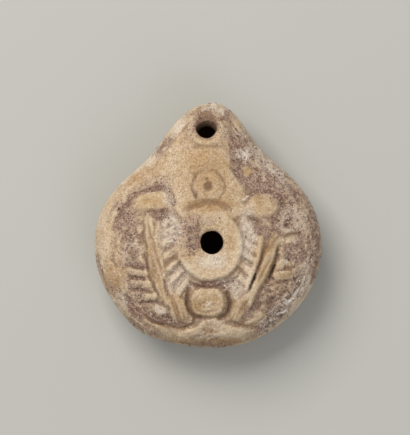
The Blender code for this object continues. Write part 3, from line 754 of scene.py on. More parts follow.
    def add_disc(self, x: Array, y: Array, height: Array) -> Array:
        """Raise the smooth disc, dished towards the filling hole, with the grooves round it."""
        edge = oval_distance(x, y, self.disc_centre, self.disc_half)
        turn = degrees_from_nozzle(np.arctan2(y - self.disc_centre[1], x - self.disc_centre[0]))
        above = self.upper_moat.share(turn)
        below = soft_step(self.lower_moat_start - np.abs(turn), self.lower_moat_fade)
        upper = soft_line(edge - self.upper_moat_away, self.upper_moat_width)
        lower = soft_line(edge - self.lower_moat_away, self.lower_moat_width)
        height = height - self.upper_moat_depth * upper * above
        height = height - self.lower_moat_depth * lower * below
        hole = np.hypot(x - self.form.filling_hole[0], y - self.form.filling_hole[1])
        level = self.disc_rise - self.disc_dish * soft_step(hole - self.dish_radius, self.dish_width)
        worn = self.worn_side.share(turn)
        softness = self.disc_edge + self.worn_edge * worn
        height = settle(height, level - self.worn_drop * worn, soft_step((edge + 0.4) / softness, 1.0))
        lip = np.clip(1.0 - (hole - self.form.filling_radius) / self.lip_width, 0.0, 1.3)
        return height - self.lip_drop * lip ** 2

    def add_neck(self, x: Array, y: Array, height: Array) -> Array:
        """Stamp the dot and ring into the neck, and leave the plain panel a little proud."""
        edge_x, edge_y = zip(*self.panel_edge)
        right_edge = np.interp(y, edge_y, edge_x)
        above_foot = soft_step(self.panel_foot - y, 3.0)
        below_head = soft_step(y - self.panel_head, 6.0)
        shoulder = soft_step(right_edge - x, self.panel_softness) * above_foot * below_head
        height = height - self.panel_drop * shoulder * soft_step(-self.field_edge(x, y), 3.0)
        across, along = x - self.ring_centre[0], y - self.ring_centre[1]
        radius = np.hypot(across, along)
        turn = degrees_from_nozzle(np.arctan2(along, across))
        faint = 1.0 - self.ring_faintness * self.ring_faint.share(turn)
        ring = soft_line(radius - self.ring_radius, self.ring_width) * self.ring_line.share(turn) * faint
        height = height - self.ring_depth * ring
        dot = self.dot_depth * soft_step(radius - self.dot_radius, 0.8)
        return height - dot + self.core_rise * soft_step(radius - self.core_radius, 0.6)

    def add_mouth(self, x: Array, y: Array, height: Array) -> Array:
        """Shape the rounded rim of the nozzle and the funnel that leads to the wick hole."""
        hole_x, hole_y = self.form.wick_hole
        mouth = np.hypot(x - hole_x, y - hole_y - self.mouth_shift)
        height = height + self.mouth_rise * soft_step(mouth - self.mouth_radius, self.mouth_edge)
        funnel = np.hypot(x - hole_x, y - hole_y) - self.form.wick_radius
        return height - self.funnel_depth * soft_step(funnel - self.funnel_shift, self.funnel_width)


@dataclass(frozen=True)
class Stain:
    """One soft-edged oval patch of a deposit."""

    centre: Point
    half: Point
    strength: float = 1.0
    turn: float = 0.0

    def cover(self, x: Array, y: Array) -> Array:
        """Strength of the patch at each place, fading over its outer half."""
        reach = oval_distance(x, y, self.centre, self.half, turn=self.turn) / min(self.half)
        return self.strength * soft_step(reach, 1.1)


@dataclass(frozen=True)
class Smudge:
    """A mark along a line, smooth and strongest in its middle: dirt packed in a groove with painted shade,
    painted shade in a crack or pit, or a line of lime.
    """

    points: tuple[Point, ...]
    width: float
    strength: float = 0.8

    def cover(self, x: Array, y: Array) -> Array:
        """Strength of the smudge at each place."""
        line, _ = path_distance(x, y, smooth_path(self.points, 4))
        return self.strength * soft_step(line - 0.5 * self.width, self.width)


@dataclass(frozen=True)
class BurialStainsAndShade:
    """Where earth, lime and a yellow tint lie on the lamp's top, patch by patch, and where painted shade
    darkens its grooves, moats, crack lines and pits.
    """

    relief: ShoulderRelief
    warp: float = 1.3
    patchiness: float = 0.32
    earth: tuple[Stain, ...] = (
        Stain((22.0, 22.0), (12.0, 7.5), 0.45, -45.0), Stain((34.5, 2.0), (4.5, 19.0), 0.4),
        Stain((14.5, 33.5), (4.5, 7.0), 0.4, 30.0), Stain((-25.5, -3.0), (4.5, 8.0), 0.45),
        Stain((11.6, 28.6), (3.4, 8.5), 0.75, 20.0), Stain((16.6, 22.4), (7.0, 4.0), 0.75, -22.0),
        Stain((9.6, 36.2), (2.2, 3.6), 0.7, 15.0), Stain((24.5, 19.0), (7.5, 4.5), 0.5, -50.0),
        Stain((-18.5, 20.8), (6.2, 2.8), 0.6, 14.0), Stain((-26.6, 15.4), (4.6, 1.8), 0.6, 44.0),
        Stain((-12.4, 17.2), (1.3, 3.4), 0.25, 20.0), Stain((-28.2, 9.4), (3.6, 6.4), 0.9, 10.0),
        Stain((-25.2, 4.4), (3.4, 4.2), 0.7), Stain((-15.6, 10.2), (4.6, 2.8), 0.75, -10.0),
        Stain((-22.0, -7.4), (2.2, 1.6), 0.5), Stain((-24.2, -12.2), (3.6, 2.8), 0.7, -10.0),
        Stain((-24.4, -18.6), (6.4, 4.4), 0.7, -38.0), Stain((-16.6, -22.6), (5.6, 3.6), 0.6, -20.0),
        Stain((-12.5, -25.9), (4.4, 1.6), 0.5, -12.0), Stain((30.8, -1.8), (5.0, 4.0), 0.85, 16.0),
        Stain((19.8, 5.8), (5.4, 3.2), 0.65, -8.0), Stain((-5.8, 3.6), (3.6, 6.2), 0.9, -8.0),
        Stain((-0.6, 9.6), (5.4, 2.2), 0.4, 10.0),
        Stain((0.6, -13.2), (7.4, 1.3), 0.55), Stain((22.6, -16.8), (6.4, 5.6), 0.6, 30.0),
        Stain((29.4, -11.6), (4.2, 3.8), 0.7), Stain((14.8, -21.6), (3.6, 2.6), 0.75, 25.0),
        Stain((-14.6, 33.4), (4.4, 1.6), 0.65, 52.0), Stain((28.6, -17.6), (2.2, 4.6), 0.5, -38.0),
        Stain((1.5, 42.0), (7.5, 5.5), 0.4, -15.0), Stain((-4.4, 40.6), (3.6, 5.4), 0.35),
        # The first stain here, a band along the lower rim, darkens it as earth and as painted shade where the
        # rim turns down.
        Stain((0.0, -34.6), (22.0, 1.8), 0.55), Stain((21.5, -26.0), (6.4, 3.2), 0.7, 40.0),
        Stain((0.5, 47.4), (4.5, 1.2), 0.5), Stain((20.0, 21.0), (9.0, 5.0), 0.3, -35.0),
        Stain((-37.0, -6.6), (1.6, 4.2), 0.6, 12.0), Stain((7.2, -13.4), (3.0, 2.2), 0.5, 30.0),
        Stain((36.6, 2.0), (2.6, 16.0), 0.75, 4.0), Stain((32.0, 12.0), (4.4, 7.0), 0.5, 14.0),
        Stain((-22.5, -28.0), (8.0, 2.6), 0.6, -36.0), Stain((25.2, 8.4), (4.2, 3.4), 0.5),
        Stain((4.8, 46.0), (4.6, 2.0), 0.45, -24.0), Stain((6.2, 41.0), (2.0, 5.0), 0.35),
        Stain((-8.8, 2.0), (3.6, 8.4), 0.3),
        Stain((-34.5, -14.0), (2.2, 7.0), 0.35, 28.0),
    )
    lime: tuple[Stain, ...] = (
        Stain((-12.4, 5.0), (3.8, 6.6), 0.6, -8.0), Stain((13.4, 5.4), (2.8, 8.6), 0.65, -4.0),
        Stain((0.8, -27.0), (7.0, 2.2), 0.2), Stain((-36.0, 4.0), (2.4, 12.0), 0.25, 4.0),
        Stain((-9.6, -10.8), (3.6, 5.2), 0.6, -30.0), Stain((10.6, -14.0), (3.4, 4.6), 0.55, 20.0),
        Stain((26.0, -21.2), (3.4, 5.8), 0.45, -38.0), Stain((20.4, -26.4), (4.2, 2.2), 0.5, 35.0),
        Stain((1.4, -5.0), (4.6, 2.6), 0.65), Stain((-10.2, 40.2), (1.7, 5.0), 0.6, -30.0),
        Stain((12.4, 31.4), (2.3, 2.0), 0.85), Stain((12.9, 16.4), (1.5, 0.5), 0.4, 45.0),
        Stain((-20.0, 30.0), (6.0, 1.6), 0.5, 42.0), Stain((-29.0, 23.5), (13.0, 1.0), 0.6, 52.0),
        Stain((18.4, 31.0), (12.0, 1.0), 0.55, -50.0), Stain((31.5, -16.0), (3.0, 6.0), 0.45, -30.0),
        Stain((13.8, -1.0), (2.4, 6.0), 0.45, -8.0), Stain((-24.0, 28.0), (5.0, 3.0), 0.4, 40.0),
        Stain((3.6, 46.8), (5.2, 1.8), 0.7, -14.0), Stain((-25.6, -2.4), (2.8, 3.8), 0.3),
        Stain((-0.6, -31.0), (4.6, 1.3), 0.35, 8.0), Stain((28.6, 8.6), (4.6, 5.6), 0.4, 10.0),
        Stain((22.0, 26.0), (9.0, 2.2), 0.45, -42.0), Stain((33.6, -9.0), (2.6, 5.0), 0.4, -20.0),
        Stain((-29.6, -18.4), (3.0, 2.6), 0.4, -45.0), Stain((14.8, -8.6), (2.2, 4.4), 0.45),
        Stain((-16.0, -21.6), (2.4, 1.8), 0.55), Stain((5.4, -12.4), (2.6, 1.4), 0.5),
        Stain((-13.2, 16.6), (2.0, 3.6), 0.55, 12.0), Stain((0.2, -19.8), (1.5, 1.4), 0.35),
        Stain((26.2, -5.0), (1.6, 1.2), 0.5), Stain((-17.4, -5.0), (1.0, 7.0), 0.25, 6.0),
    )
    ochre: tuple[Stain, ...] = (
        Stain((-34.8, 2.0), (2.6, 13.0), 0.2, 2.0), Stain((-31.4, -10.4), (4.2, 5.0), 0.7),
        Stain((-18.8, 15.4), (5.6, 3.0), 0.75), Stain((19.6, 14.4), (5.2, 4.2), 0.5),
        Stain((0.0, -33.9), (24.0, 2.4), 0.9), Stain((-19.0, -24.4), (7.0, 2.8), 0.6, -34.0),
        Stain((-23.5, 25.0), (5.5, 1.6), 0.8, 41.0), Stain((-1.0, -30.6), (6.0, 1.8), 0.2, 8.0),
        Stain((-20.6, 15.6), (1.8, 1.2), 0.8, 20.0), Stain((-16.8, 14.9), (1.3, 1.1), 0.8, -30.0),
        Stain((17.8, 14.8), (1.1, 2.2), 0.9, 10.0), Stain((21.8, 15.6), (1.5, 1.0), 0.8),
        Stain((20.4, 12.4), (1.8, 0.8), 0.6, -10.0),
        Stain((0.0, 25.6), (8.4, 9.0), 0.7), Stain((13.8, 25.8), (2.0, 2.2), 0.9),
        Stain((-18.4, -4.0), (2.4, 7.0), 1.0, 8.0), Stain((-16.4, -12.0), (2.4, 6.0), 0.6, 12.0),
        Stain((-10.4, -20.6), (3.4, 5.2), 0.8, 32.0), Stain((20.2, -5.4), (2.2, 9.6), 1.0, -17.0),
        Stain((11.2, -21.6), (3.0, 4.2), 0.85, -30.0), Stain((0.0, -19.4), (5.6, 4.8), 0.6),
        Stain((8.4, 4.6), (3.2, 7.0), 0.5), Stain((-20.4, 24.4), (7.0, 3.2), 0.45, 40.0),
        Stain((26.2, -10.0), (3.4, 1.5), 0.8, 8.0), Stain((-3.6, -20.6), (1.8, 2.4), 0.9),
        Stain((9.0, 17.2), (4.4, 3.0), 0.3), Stain((0.8, 14.2), (8.6, 2.4), 0.95),
        Stain((-6.0, 2.0), (4.6, 8.0), 0.6), Stain((-2.0, 40.6), (7.0, 7.0), 0.15),
        Stain((17.0, -2.0), (1.6, 7.6), 0.5, -10.0), Stain((6.6, 43.4), (1.5, 1.8), 0.5),
        Stain((25.0, -20.0), (6.0, 9.0), 0.6, -38.0),
    )

    # Dirt packed in grooves, moats and the ring, laid darker as painted shade in them
    dirt_and_shade_smudges: tuple[Smudge, ...] = (
        Smudge(((-2.9, 25.1), (-4.7, 22.8), (-5.2, 20.4), (-4.9, 18.2)), 0.9, 0.6),
        Smudge(((3.2, 24.9), (5.0, 22.8), (5.8, 20.4), (5.7, 18.6)), 0.8, 0.42),
        Smudge(((-2.6, 25.3), (0.4, 26.0), (3.2, 25.2)), 0.8, 0.32),
        Smudge(((-6.0, 25.2), (-4.2, 24.4)), 1.0, 0.4),
        Smudge(((-0.5, 20.0), (0.3, 21.1), (1.1, 20.3), (0.4, 19.3), (-0.5, 20.0)), 0.5, 0.6),
        Smudge(((-5.6, 26.6), (-2.4, 27.2), (1.6, 27.0)), 1.4, 0.18),
        # These two darken the funnel's upper wall towards the wick hole as painted shade.
        Smudge(((-2.4, 42.6), (-0.4, 43.8), (1.8, 42.8)), 3.6, 0.4),
        Smudge(((-2.6, 41.5), (-0.4, 42.2), (1.8, 41.6)), 2.0, 0.5),
        Smudge(((-18.3, 5.0), (-17.9, 0.0), (-17.2, -5.3)), 0.9, 0.4),
        Smudge(((-26.0, -2.3), (-24.7, -4.0)), 2.0, 0.85),
        Smudge(((-0.2, 19.8), (0.5, 20.6)), 2.2, 0.8), Smudge(((-0.6, 22.6), (-0.2, 22.9)), 0.8, 0.6),
        Smudge(((-4.4, 17.6), (-3.8, 16.8)), 1.4, 0.8),
        Smudge(((-7.4, 12.6), (-4.4, 14.6), (-0.6, 15.4), (3.6, 15.1), (7.6, 13.4)), 1.7, 0.35),
        Smudge(((-11.6, 13.0), (-12.2, 16.2), (-14.0, 18.7)), 0.8, 0.25),
        Smudge(((-6.4, -14.6), (-6.9, -18.8), (-6.2, -21.8), (-4.3, -23.8), (-2.0, -24.3)), 1.7, 0.9),
        Smudge(((6.8, -16.0), (7.5, -19.0), (7.0, -21.8), (4.6, -24.3)), 2.1, 0.9),
        Smudge(((-20.6, -23.9), (-16.4, -26.5), (-12.0, -27.6), (-8.0, -27.8), (-5.0, -26.2), (-4.4, -24.4)),
               1.3, 0.8),
        Smudge(((9.0, -26.2), (14.0, -27.5), (18.2, -27.9)), 1.2, 0.7),
        Smudge(((23.9, -0.6), (23.3, -4.8), (22.3, -8.0), (20.8, -11.6)), 0.9, 0.8),
        Smudge(((22.8, -6.6), (21.6, -10.0)), 0.9, 1.0), Smudge(((16.4, -9.6), (14.6, -13.8)), 0.8, 0.9),
        Smudge(((19.4, -0.5), (17.6, -6.0), (15.8, -11.0), (14.1, -15.2)), 0.8, 0.65),
        Smudge(((-20.5, -1.0), (-19.7, -8.0), (-18.1, -14.2)), 0.6, 0.4),
        Smudge(((-14.6, -11.4), (-13.3, -17.4)), 0.6, 0.4),
        Smudge(((-22.3, -7.5), (-24.4, -7.1), (-27.2, -6.6)), 1.3, 0.65),
        Smudge(((-21.4, -11.2), (-23.4, -10.9), (-25.8, -10.9)), 1.1, 0.55),
        Smudge(((-19.2, -15.6), (-22.2, -15.1), (-24.6, -14.9)), 1.2, 0.55),
        Smudge(((26.7, 7.0), (27.9, 8.9)), 1.6, 1.0),
        Smudge(((26.4, 3.0), (28.4, 4.2), (30.8, 4.6)), 1.3, 0.8),
        Smudge(((-6.2, 37.6), (-4.0, 35.2), (-0.7, 34.3), (2.6, 35.2), (5.0, 37.8), (5.6, 40.6),
                (4.8, 43.2)), 0.9, 0.3),
        Smudge(((-3.8, 41.2), (-2.8, 43.4), (-0.3, 44.6), (2.2, 43.5), (3.3, 41.4)), 1.3, 0.4),
        Smudge(((-6.9, 40.4), (-6.1, 43.4), (-3.9, 45.7)), 0.8, 0.22),
        Smudge(((-3.9, -18.6), (-4.1, -20.4), (-2.7, -22.0), (0.6, -22.6)), 0.8, 0.3),
        Smudge(((-12.8, -9.8), (-10.8, -8.0), (-9.0, -6.3)), 0.7, 0.35),
        Smudge(((-11.6, -13.0), (-9.8, -11.0), (-8.4, -9.3)), 0.8, 0.4),
        Smudge(((-3.6, 34.4), (0.8, 33.8), (5.4, 34.2)), 1.4, 0.4),
        Smudge(((-4.4, 43.8), (0.0, 45.6), (3.0, 44.6)), 1.2, 0.3),
        Smudge(((-10.2, -4.6), (-6.4, -9.6), (-2.0, -12.2), (3.4, -12.8), (7.2, -11.2), (10.6, -7.4)),
               1.0, 0.5),
        Smudge(((-19.8, -19.0), (-15.4, -19.8), (-12.8, -21.4)), 1.0, 0.6),
        Smudge(((-24.2, 12.2), (-19.0, 11.6), (-13.6, 12.4)), 1.0, 0.5),
        Smudge(((14.4, 9.7), (15.6, 9.2), (16.6, 8.5)), 2.6, 0.9),
        Smudge(((24.9, 15.8), (25.0, 13.2), (23.4, 11.0)), 1.0, 0.5),
        Smudge(((-5.6, -31.2), (-1.2, -29.9), (2.4, -28.9)), 0.8, 0.45),
        Smudge(((-6.5, -30.0), (-2.6, -28.3), (1.6, -28.0)), 0.5, 0.3),
        Smudge(((-7.5, -32.0), (-2.0, -31.0), (3.6, -30.6), (9.0, -31.6)), 0.4, 0.2),
        Smudge(((-3.0, -32.8), (2.0, -32.2), (6.0, -32.6)), 0.5, 0.25),
        # This band darkens the lower rim: earth, and painted shade where the rim turns down.
        Smudge(((-17.0, -30.9), (-7.0, -33.1), (5.0, -33.3), (16.0, -30.6)), 2.2, 0.32),
        Smudge(((-25.4, -22.6), (-20.4, -26.8), (-14.0, -30.2)), 0.7, 0.4),
    )

    # Near-black painted shade in crack lines, slots and pits
    crack_shade_marks: tuple[Smudge, ...] = (
        Smudge(((22.7, -6.6), (22.3, -7.8), (21.6, -9.5), (20.9, -10.9)), 0.7, 1.0),
        Smudge(((16.5, -9.6), (15.5, -11.8), (14.3, -14.2)), 0.5, 0.95),
        Smudge(((24.0, -1.2), (23.6, -3.2)), 0.5, 0.8), Smudge(((27.5, -4.7), (27.7, -4.6)), 0.7, 1.0),
        Smudge(((22.3, -11.1), (22.5, -11.1)), 0.6, 0.9), Smudge(((26.6, 7.2), (27.6, 8.4)), 0.8, 0.55),
        Smudge(((7.0, -17.2), (7.3, -19.6), (6.8, -21.9)), 1.0, 0.5),
        Smudge(((-7.1, -16.6), (-7.3, -19.2), (-6.6, -21.8)), 0.7, 0.45),
        Smudge(((17.4, -17.0), (17.9, -17.8)), 0.5, 0.8), Smudge(((21.9, -17.9), (22.1, -17.7)), 0.6, 0.8),
        Smudge(((26.8, -14.2), (25.6, -16.2), (24.3, -17.6)), 0.4, 0.6),
        Smudge(((18.9, -27.8), (20.6, -26.4), (21.4, -24.6), (23.6, -23.0), (24.6, -21.2), (26.8, -20.2)),
               0.8, 0.75),
        Smudge(((22.2, -26.4), (24.4, -24.6), (26.4, -22.6), (29.0, -20.8)), 0.7, 0.65),
        Smudge(((20.6, -21.4), (22.6, -20.0), (24.0, -18.0)), 0.6, 0.55),
        Smudge(((27.6, -18.0), (29.6, -15.6), (31.4, -12.6)), 0.5, 0.5),
        Smudge(((26.1, -6.4), (26.1, -8.2)), 0.3, 0.5), Smudge(((27.3, -6.6), (27.4, -8.0)), 0.3, 0.5),
        Smudge(((-3.9, 17.4), (-4.1, 16.7)), 0.6, 0.45),
        Smudge(((-20.7, -3.0), (-19.9, -8.3), (-18.0, -13.6), (-16.0, -17.6)), 0.5, 0.55),
        Smudge(((-14.7, -11.6), (-13.6, -16.3)), 0.5, 0.5), Smudge(((-26.5, -6.6), (-22.6, -7.9)), 0.5, 0.4),
        Smudge(((-13.9, 17.0), (-12.7, 14.9), (-11.4, 13.9)), 0.5, 0.5),
        Smudge(((-13.7, 6.3), (-12.1, 6.6)), 0.5, 0.4), Smudge(((-14.1, 0.0), (-12.1, -1.4)), 0.5, 0.35),
        Smudge(((-9.4, -12.6), (-8.1, -11.3)), 0.6, 0.4), Smudge(((-4.5, -0.7), (-4.3, -0.9)), 0.7, 0.5),
        Smudge(((-4.6, 5.0), (-4.3, 4.7)), 0.7, 0.4), Smudge(((-6.3, 6.4), (-5.6, 6.1)), 0.6, 0.35),
        Smudge(((20.6, -3.0), (19.0, -7.4), (17.2, -11.4)), 0.4, 0.3),
        Smudge(((12.8, -4.2), (15.4, -5.7)), 0.5, 0.4), Smudge(((-16.5, 32.0), (-10.7, 37.8)), 0.6, 0.25),
        Smudge(((-9.3, -4.9), (-8.2, -6.8), (-7.4, -8.4)), 0.5, 0.4),
    )
    scraped: tuple[Stain, ...] = (
        Stain((13.8, 25.8), (1.9, 1.7), 1.0, 20.0), Stain((31.5, 14.3), (0.9, 1.5), 0.9, 10.0),
        Stain((-22.8, 5.4), (1.6, 1.8), 0.4), Stain((26.4, -6.2), (2.8, 1.5), 0.8),
        Stain((26.2, -10.2), (3.4, 1.1), 0.9), Stain((-24.4, -1.0), (1.6, 3.0), 0.5),
    )
    lime_lines: tuple[Smudge, ...] = (
        Smudge(((12.3, 15.7), (12.7, 16.1)), 0.9, 1.0), Smudge(((13.3, 16.8), (13.6, 17.0)), 0.7, 0.9),
        Smudge(((15.6, 17.9), (15.8, 17.9)), 0.5, 0.7), Smudge(((14.5, 16.5), (14.7, 16.5)), 0.4, 0.6),
        Smudge(((31.4, 15.2), (31.7, 13.6)), 0.7, 0.5), Smudge(((26.6, 1.3), (29.9, 1.3)), 1.0, 0.5),
        Smudge(((13.9, 11.1), (16.9, 10.0), (20.2, 8.7)), 0.6, 0.4),
        Smudge(((25.2, 5.7), (30.2, 5.8)), 1.2, 0.35),
        Smudge(((22.7, -10.9), (27.4, -11.1), (29.9, -9.8)), 0.6, 0.5),
        Smudge(((25.6, -17.4), (27.4, -18.8)), 0.8, 0.8), Smudge(((25.4, -20.5), (28.6, -18.5)), 1.1, 1.0),
        Smudge(((24.1, -23.1), (27.3, -21.8)), 0.9, 1.0), Smudge(((20.2, -23.1), (23.5, -20.5)), 0.7, 0.6),
        Smudge(((29.4, -16.6), (31.0, -14.4)), 0.9, 0.8), Smudge(((21.0, -25.6), (23.0, -25.0)), 0.7, 0.8),
        Smudge(((18.9, -27.3), (20.9, -27.9)), 0.5, 0.6), Smudge(((21.8, -18.2), (24.7, -16.6)), 0.5, 0.4),
        Smudge(((31.7, -17.0), (32.4, -15.4), (33.6, -13.2), (34.4, -11.8)), 0.6, 0.65),
        Smudge(((29.2, 21.9), (32.4, 19.0), (34.9, 14.7)), 0.5, 0.5),
        Smudge(((-2.8, -26.3), (0.1, -25.7), (4.7, -25.7), (8.5, -27.3)), 1.4, 0.25),
        Smudge(((-28.3, -1.5), (-27.6, 0.8), (-25.6, 1.9), (-23.8, 0.8)), 0.5, 0.45),
        Smudge(((-28.5, -3.4), (-27.4, -5.4), (-25.0, -6.0)), 0.5, 0.35),
        Smudge(((-2.5, -29.6), (0.8, -31.8)), 0.5, 0.6), Smudge(((-0.5, -28.6), (2.7, -29.6)), 0.5, 0.5),
        Smudge(((9.8, -27.9), (15.7, -29.2)), 1.0, 0.35), Smudge(((-22.6, -28.9), (-18.7, -30.8)), 0.6, 0.4),
        Smudge(((-17.4, -21.1), (-14.8, -22.4)), 1.2, 0.45), Smudge(((-0.2, -18.9), (2.1, -18.2)), 0.4, 0.4),
        Smudge(((-0.5, -20.5), (0.8, -19.5), (2.1, -20.8)), 0.5, 0.55),
        Smudge(((-22.0, 18.2), (-16.0, 18.4), (-14.1, 17.2)), 0.6, 0.4),
        Smudge(((-15.7, 6.6), (-11.4, 9.9)), 1.2, 0.45), Smudge(((-15.4, 2.3), (-12.7, 2.6)), 1.0, 0.45),
        Smudge(((-15.1, -10.0), (-10.1, -4.7)), 0.6, 0.6), Smudge(((-9.8, -15.6), (-6.4, -11.6)), 0.6, 0.6),
        Smudge(((-30.6, -8.3), (-29.0, -10.6)), 0.6, 0.5), Smudge(((4.8, 45.9), (5.5, 44.3)), 0.7, 0.6),
        Smudge(((-16.4, 7.6), (-16.0, 1.3), (-15.6, -4.0), (-14.7, -11.0)), 0.7, 0.3),
        Smudge(((19.4, -4.8), (17.3, -10.6), (15.1, -15.6)), 0.5, 0.35),
        Smudge(((10.0, 38.5), (11.3, 37.5)), 0.7, 0.6), Smudge(((12.3, 32.0), (13.3, 31.3)), 1.2, 0.7),
        Smudge(((-11.4, 41.7), (-9.1, 39.4)), 1.0, 0.5),
    )
    fray_pitch: float = 3.2
    thin_pitch: float = 2.4
    fray_fade: float = 0.75
    line_fray_pitch: float = 1.6
    line_gap_pitch: float = 1.4
    line_fade: float = 0.7
    streak_reach: float = 8.0
    streak_width: float = 0.9
    streak_length: float = 3.6
    streak_strength: float = 0.75
    streaks_on_bare_clay: float = 0.25
    streaks_in_lime: float = 0.4
    grain_width: float = 0.9
    grain_length: float = 5.0
    grain_strength: float = 3.6
    stem_half_widths: Point = (2.4, 1.7)

    def edge_streaks(self, points: Array) -> Array:
        """Draw the thin streaks that follow the lamp's edge, as burial and handling leave them.

        Args:
            points: Places as rows of x, y and z in millimetres.

        Returns:
            From about -1 where lime lies to about 1 where earth lies, and 0 away from the edge.
        """
        edge = self.relief.form.outer_radius(np.arctan2(points[:, 1], points[:, 0]))
        inward = edge - np.hypot(points[:, 0], points[:, 1])
        along = points[:, :2] * self.streak_width / self.streak_length
        places = np.column_stack([inward, along])
        streaks = GroundNoise(Seed.EDGE_STREAKS).layers(places, self.streak_width, 2, 0.6) - 0.5
        return 2.0 * self.streak_strength * streaks * soft_step(inward - self.streak_reach, 8.0)

    def stem_grain(self, points: Array) -> Array:
        """Draw the fine lines that run down both stems.

        Args:
            points: Places as rows of x, y and z in millimetres.

        Returns:
            From about -1 on a fine ridge to about 1 in a fine line, and 0 away from the stems.
        """
        x, y = points[:, 0], points[:, 1]
        total = np.zeros(len(points))
        stems = (self.relief.left_stem, self.relief.right_stem)
        for stem, half_width in zip(stems, self.stem_half_widths):
            lean = (stem[-1][0] - stem[0][0]) / (stem[-1][1] - stem[0][1])
            along = y * self.grain_width / self.grain_length
            places = np.column_stack([x - lean * y, along, np.zeros(len(x))])
            lines = GroundNoise(Seed.STEM_LINES).layers(places, self.grain_width, 2, 0.6) - 0.5
            distance, _ = path_distance(x, y, smooth_path(stem, 3))
            total = total + self.grain_strength * lines * soft_step(distance - half_width, 1.2)
        return total

    def along_lines(self, points: Array, lines: tuple[Smudge, ...]) -> Array:
        """Work out how strongly a mark lies along some lines, a little uneven along them: packed dirt with
        painted shade, painted shade in a crack, or lime.

        Args:
            points: Places as rows of x, y and z in millimetres.
            lines: The lines.

        Returns:
            Strength at each place, from 0 to 1.
        """
        across = GroundNoise(Seed.FRAY_ACROSS).layers(points, self.line_fray_pitch, 2, self.line_fade) - 0.5
        along = GroundNoise(Seed.FRAY_ALONG).layers(points, self.line_fray_pitch, 2, self.line_fade) - 0.5
        x, y = points[:, 0] + across, points[:, 1] + along
        bare = np.ones(len(points))
        for line in lines:
            bare *= 1.0 - line.cover(x, y)
        thin = GroundNoise(Seed.BROKEN_LINES).layers(points, self.line_gap_pitch, 2, self.line_fade)
        return (1.0 - bare) * np.clip(0.5 + thin, 0.0, 1.0)

    def cover(self, deposit: Deposit, points: Array) -> Array:
        """Lay every patch of one deposit over the lamp, with frayed edges and thin places.

        Args:
            deposit: Which deposit.
            points: Places as rows of x, y and z in millimetres.

        Returns:
            Strength at each place, from 0 to 1.
        """
        across = GroundNoise(Seed.FRAY_ACROSS).layers(points, self.fray_pitch, 3, self.fray_fade) - 0.5
        along = GroundNoise(Seed.FRAY_ALONG).layers(points, self.fray_pitch, 3, self.fray_fade) - 0.5
        x, y = points[:, 0] + self.warp * 2.0 * across, points[:, 1] + self.warp * 2.0 * along
        bare = np.ones(len(points))
        for patch in getattr(self, deposit.value):
            bare *= 1.0 - patch.cover(x, y)
        seed = Seed.THIN_LIME if deposit is Deposit.LIME else Seed.THIN_EARTH
        thin = GroundNoise(seed).layers(points, self.thin_pitch, 3, self.fray_fade) - 0.5
        strength = (1.0 - bare) * np.clip(1.0 + 2.0 * self.patchiness * thin, 0.0, 1.6)
        streaks = self.edge_streaks(points)
        if deposit is Deposit.EARTH:
            strength = strength + (self.streaks_on_bare_clay + strength) * streaks
            for place in self.scraped:
                strength = strength * (1.0 - place.cover(x, y))
        elif deposit is Deposit.LIME:
            strength = strength - self.streaks_in_lime * streaks
        return np.clip(strength, 0.0, 1.0)


@dataclass(frozen=True)
class Wash:
    """An even thin layer of one colour, as strong as a painted strength says."""

    code: str
    most: float

    def lay(self, tree: bpy.types.NodeTree, under: bpy.types.NodeSocket,
            strength: bpy.types.NodeSocket) -> bpy.types.NodeSocket:
        """Blend the colour in over the one below, up to its share at full strength."""
        share = add_node(tree, "ShaderNodeMapRange", values={"To Max": self.most}, links={"Value": strength})
        return mix_colours(tree, share.outputs["Result"], under, self.code)


@dataclass(frozen=True)
class Speckle:
    """One tone that shows as specks or patches where a noise runs high.

    It lies as a light and a dark version in blotches. The shift is how many steps its pattern is
    moved, so that two layers never coincide.
    """

    light: str
    dark: str
    speck_mm: float
    start: float
    full: float
    shift: int
    lift: float = 0.0
    most: float = 1.0
    detail: float = 2.0

    def lay(self, tree: bpy.types.NodeTree, place: bpy.types.NodeSocket, under: str | bpy.types.NodeSocket,
            strength: bpy.types.NodeSocket | None = None) -> bpy.types.NodeSocket:
        """Lay the tone over the colour below.

        Args:
            tree: The material's nodes.
            place: Object coordinates.
            under: The colour that it lies on, as a hex code or a socket.
            strength: Strength from 0 to 1 that lifts the noise, if the tone follows one.

        Returns:
            The colour socket.
        """
        place = add_node(tree, "ShaderNodeMapping",
                         values={"Location": (0.01 * self.shift, 0.02 * self.shift, 0.0)},
                         links={"Vector": place}).outputs["Vector"]
        level = noise_level(tree, place, self.speck_mm, self.detail, roughness=0.6)
        if strength is not None:
            level = add_node(tree, "ShaderNodeMath", {"operation": "MULTIPLY_ADD"}, {1: self.lift},
                             {0: strength, 2: level}).outputs[0]
        limits = {"From Min": self.start, "From Max": self.full, "To Max": self.most}
        share = add_node(tree, "ShaderNodeMapRange", {"interpolation_type": "SMOOTHSTEP"}, limits,
                         {"Value": level}).outputs["Result"]
        tone = two_tones(tree, noise_level(tree, place, self.speck_mm / 0.8, 2.0), self.light, self.dark)
        return mix_colours(tree, share, under, tone)


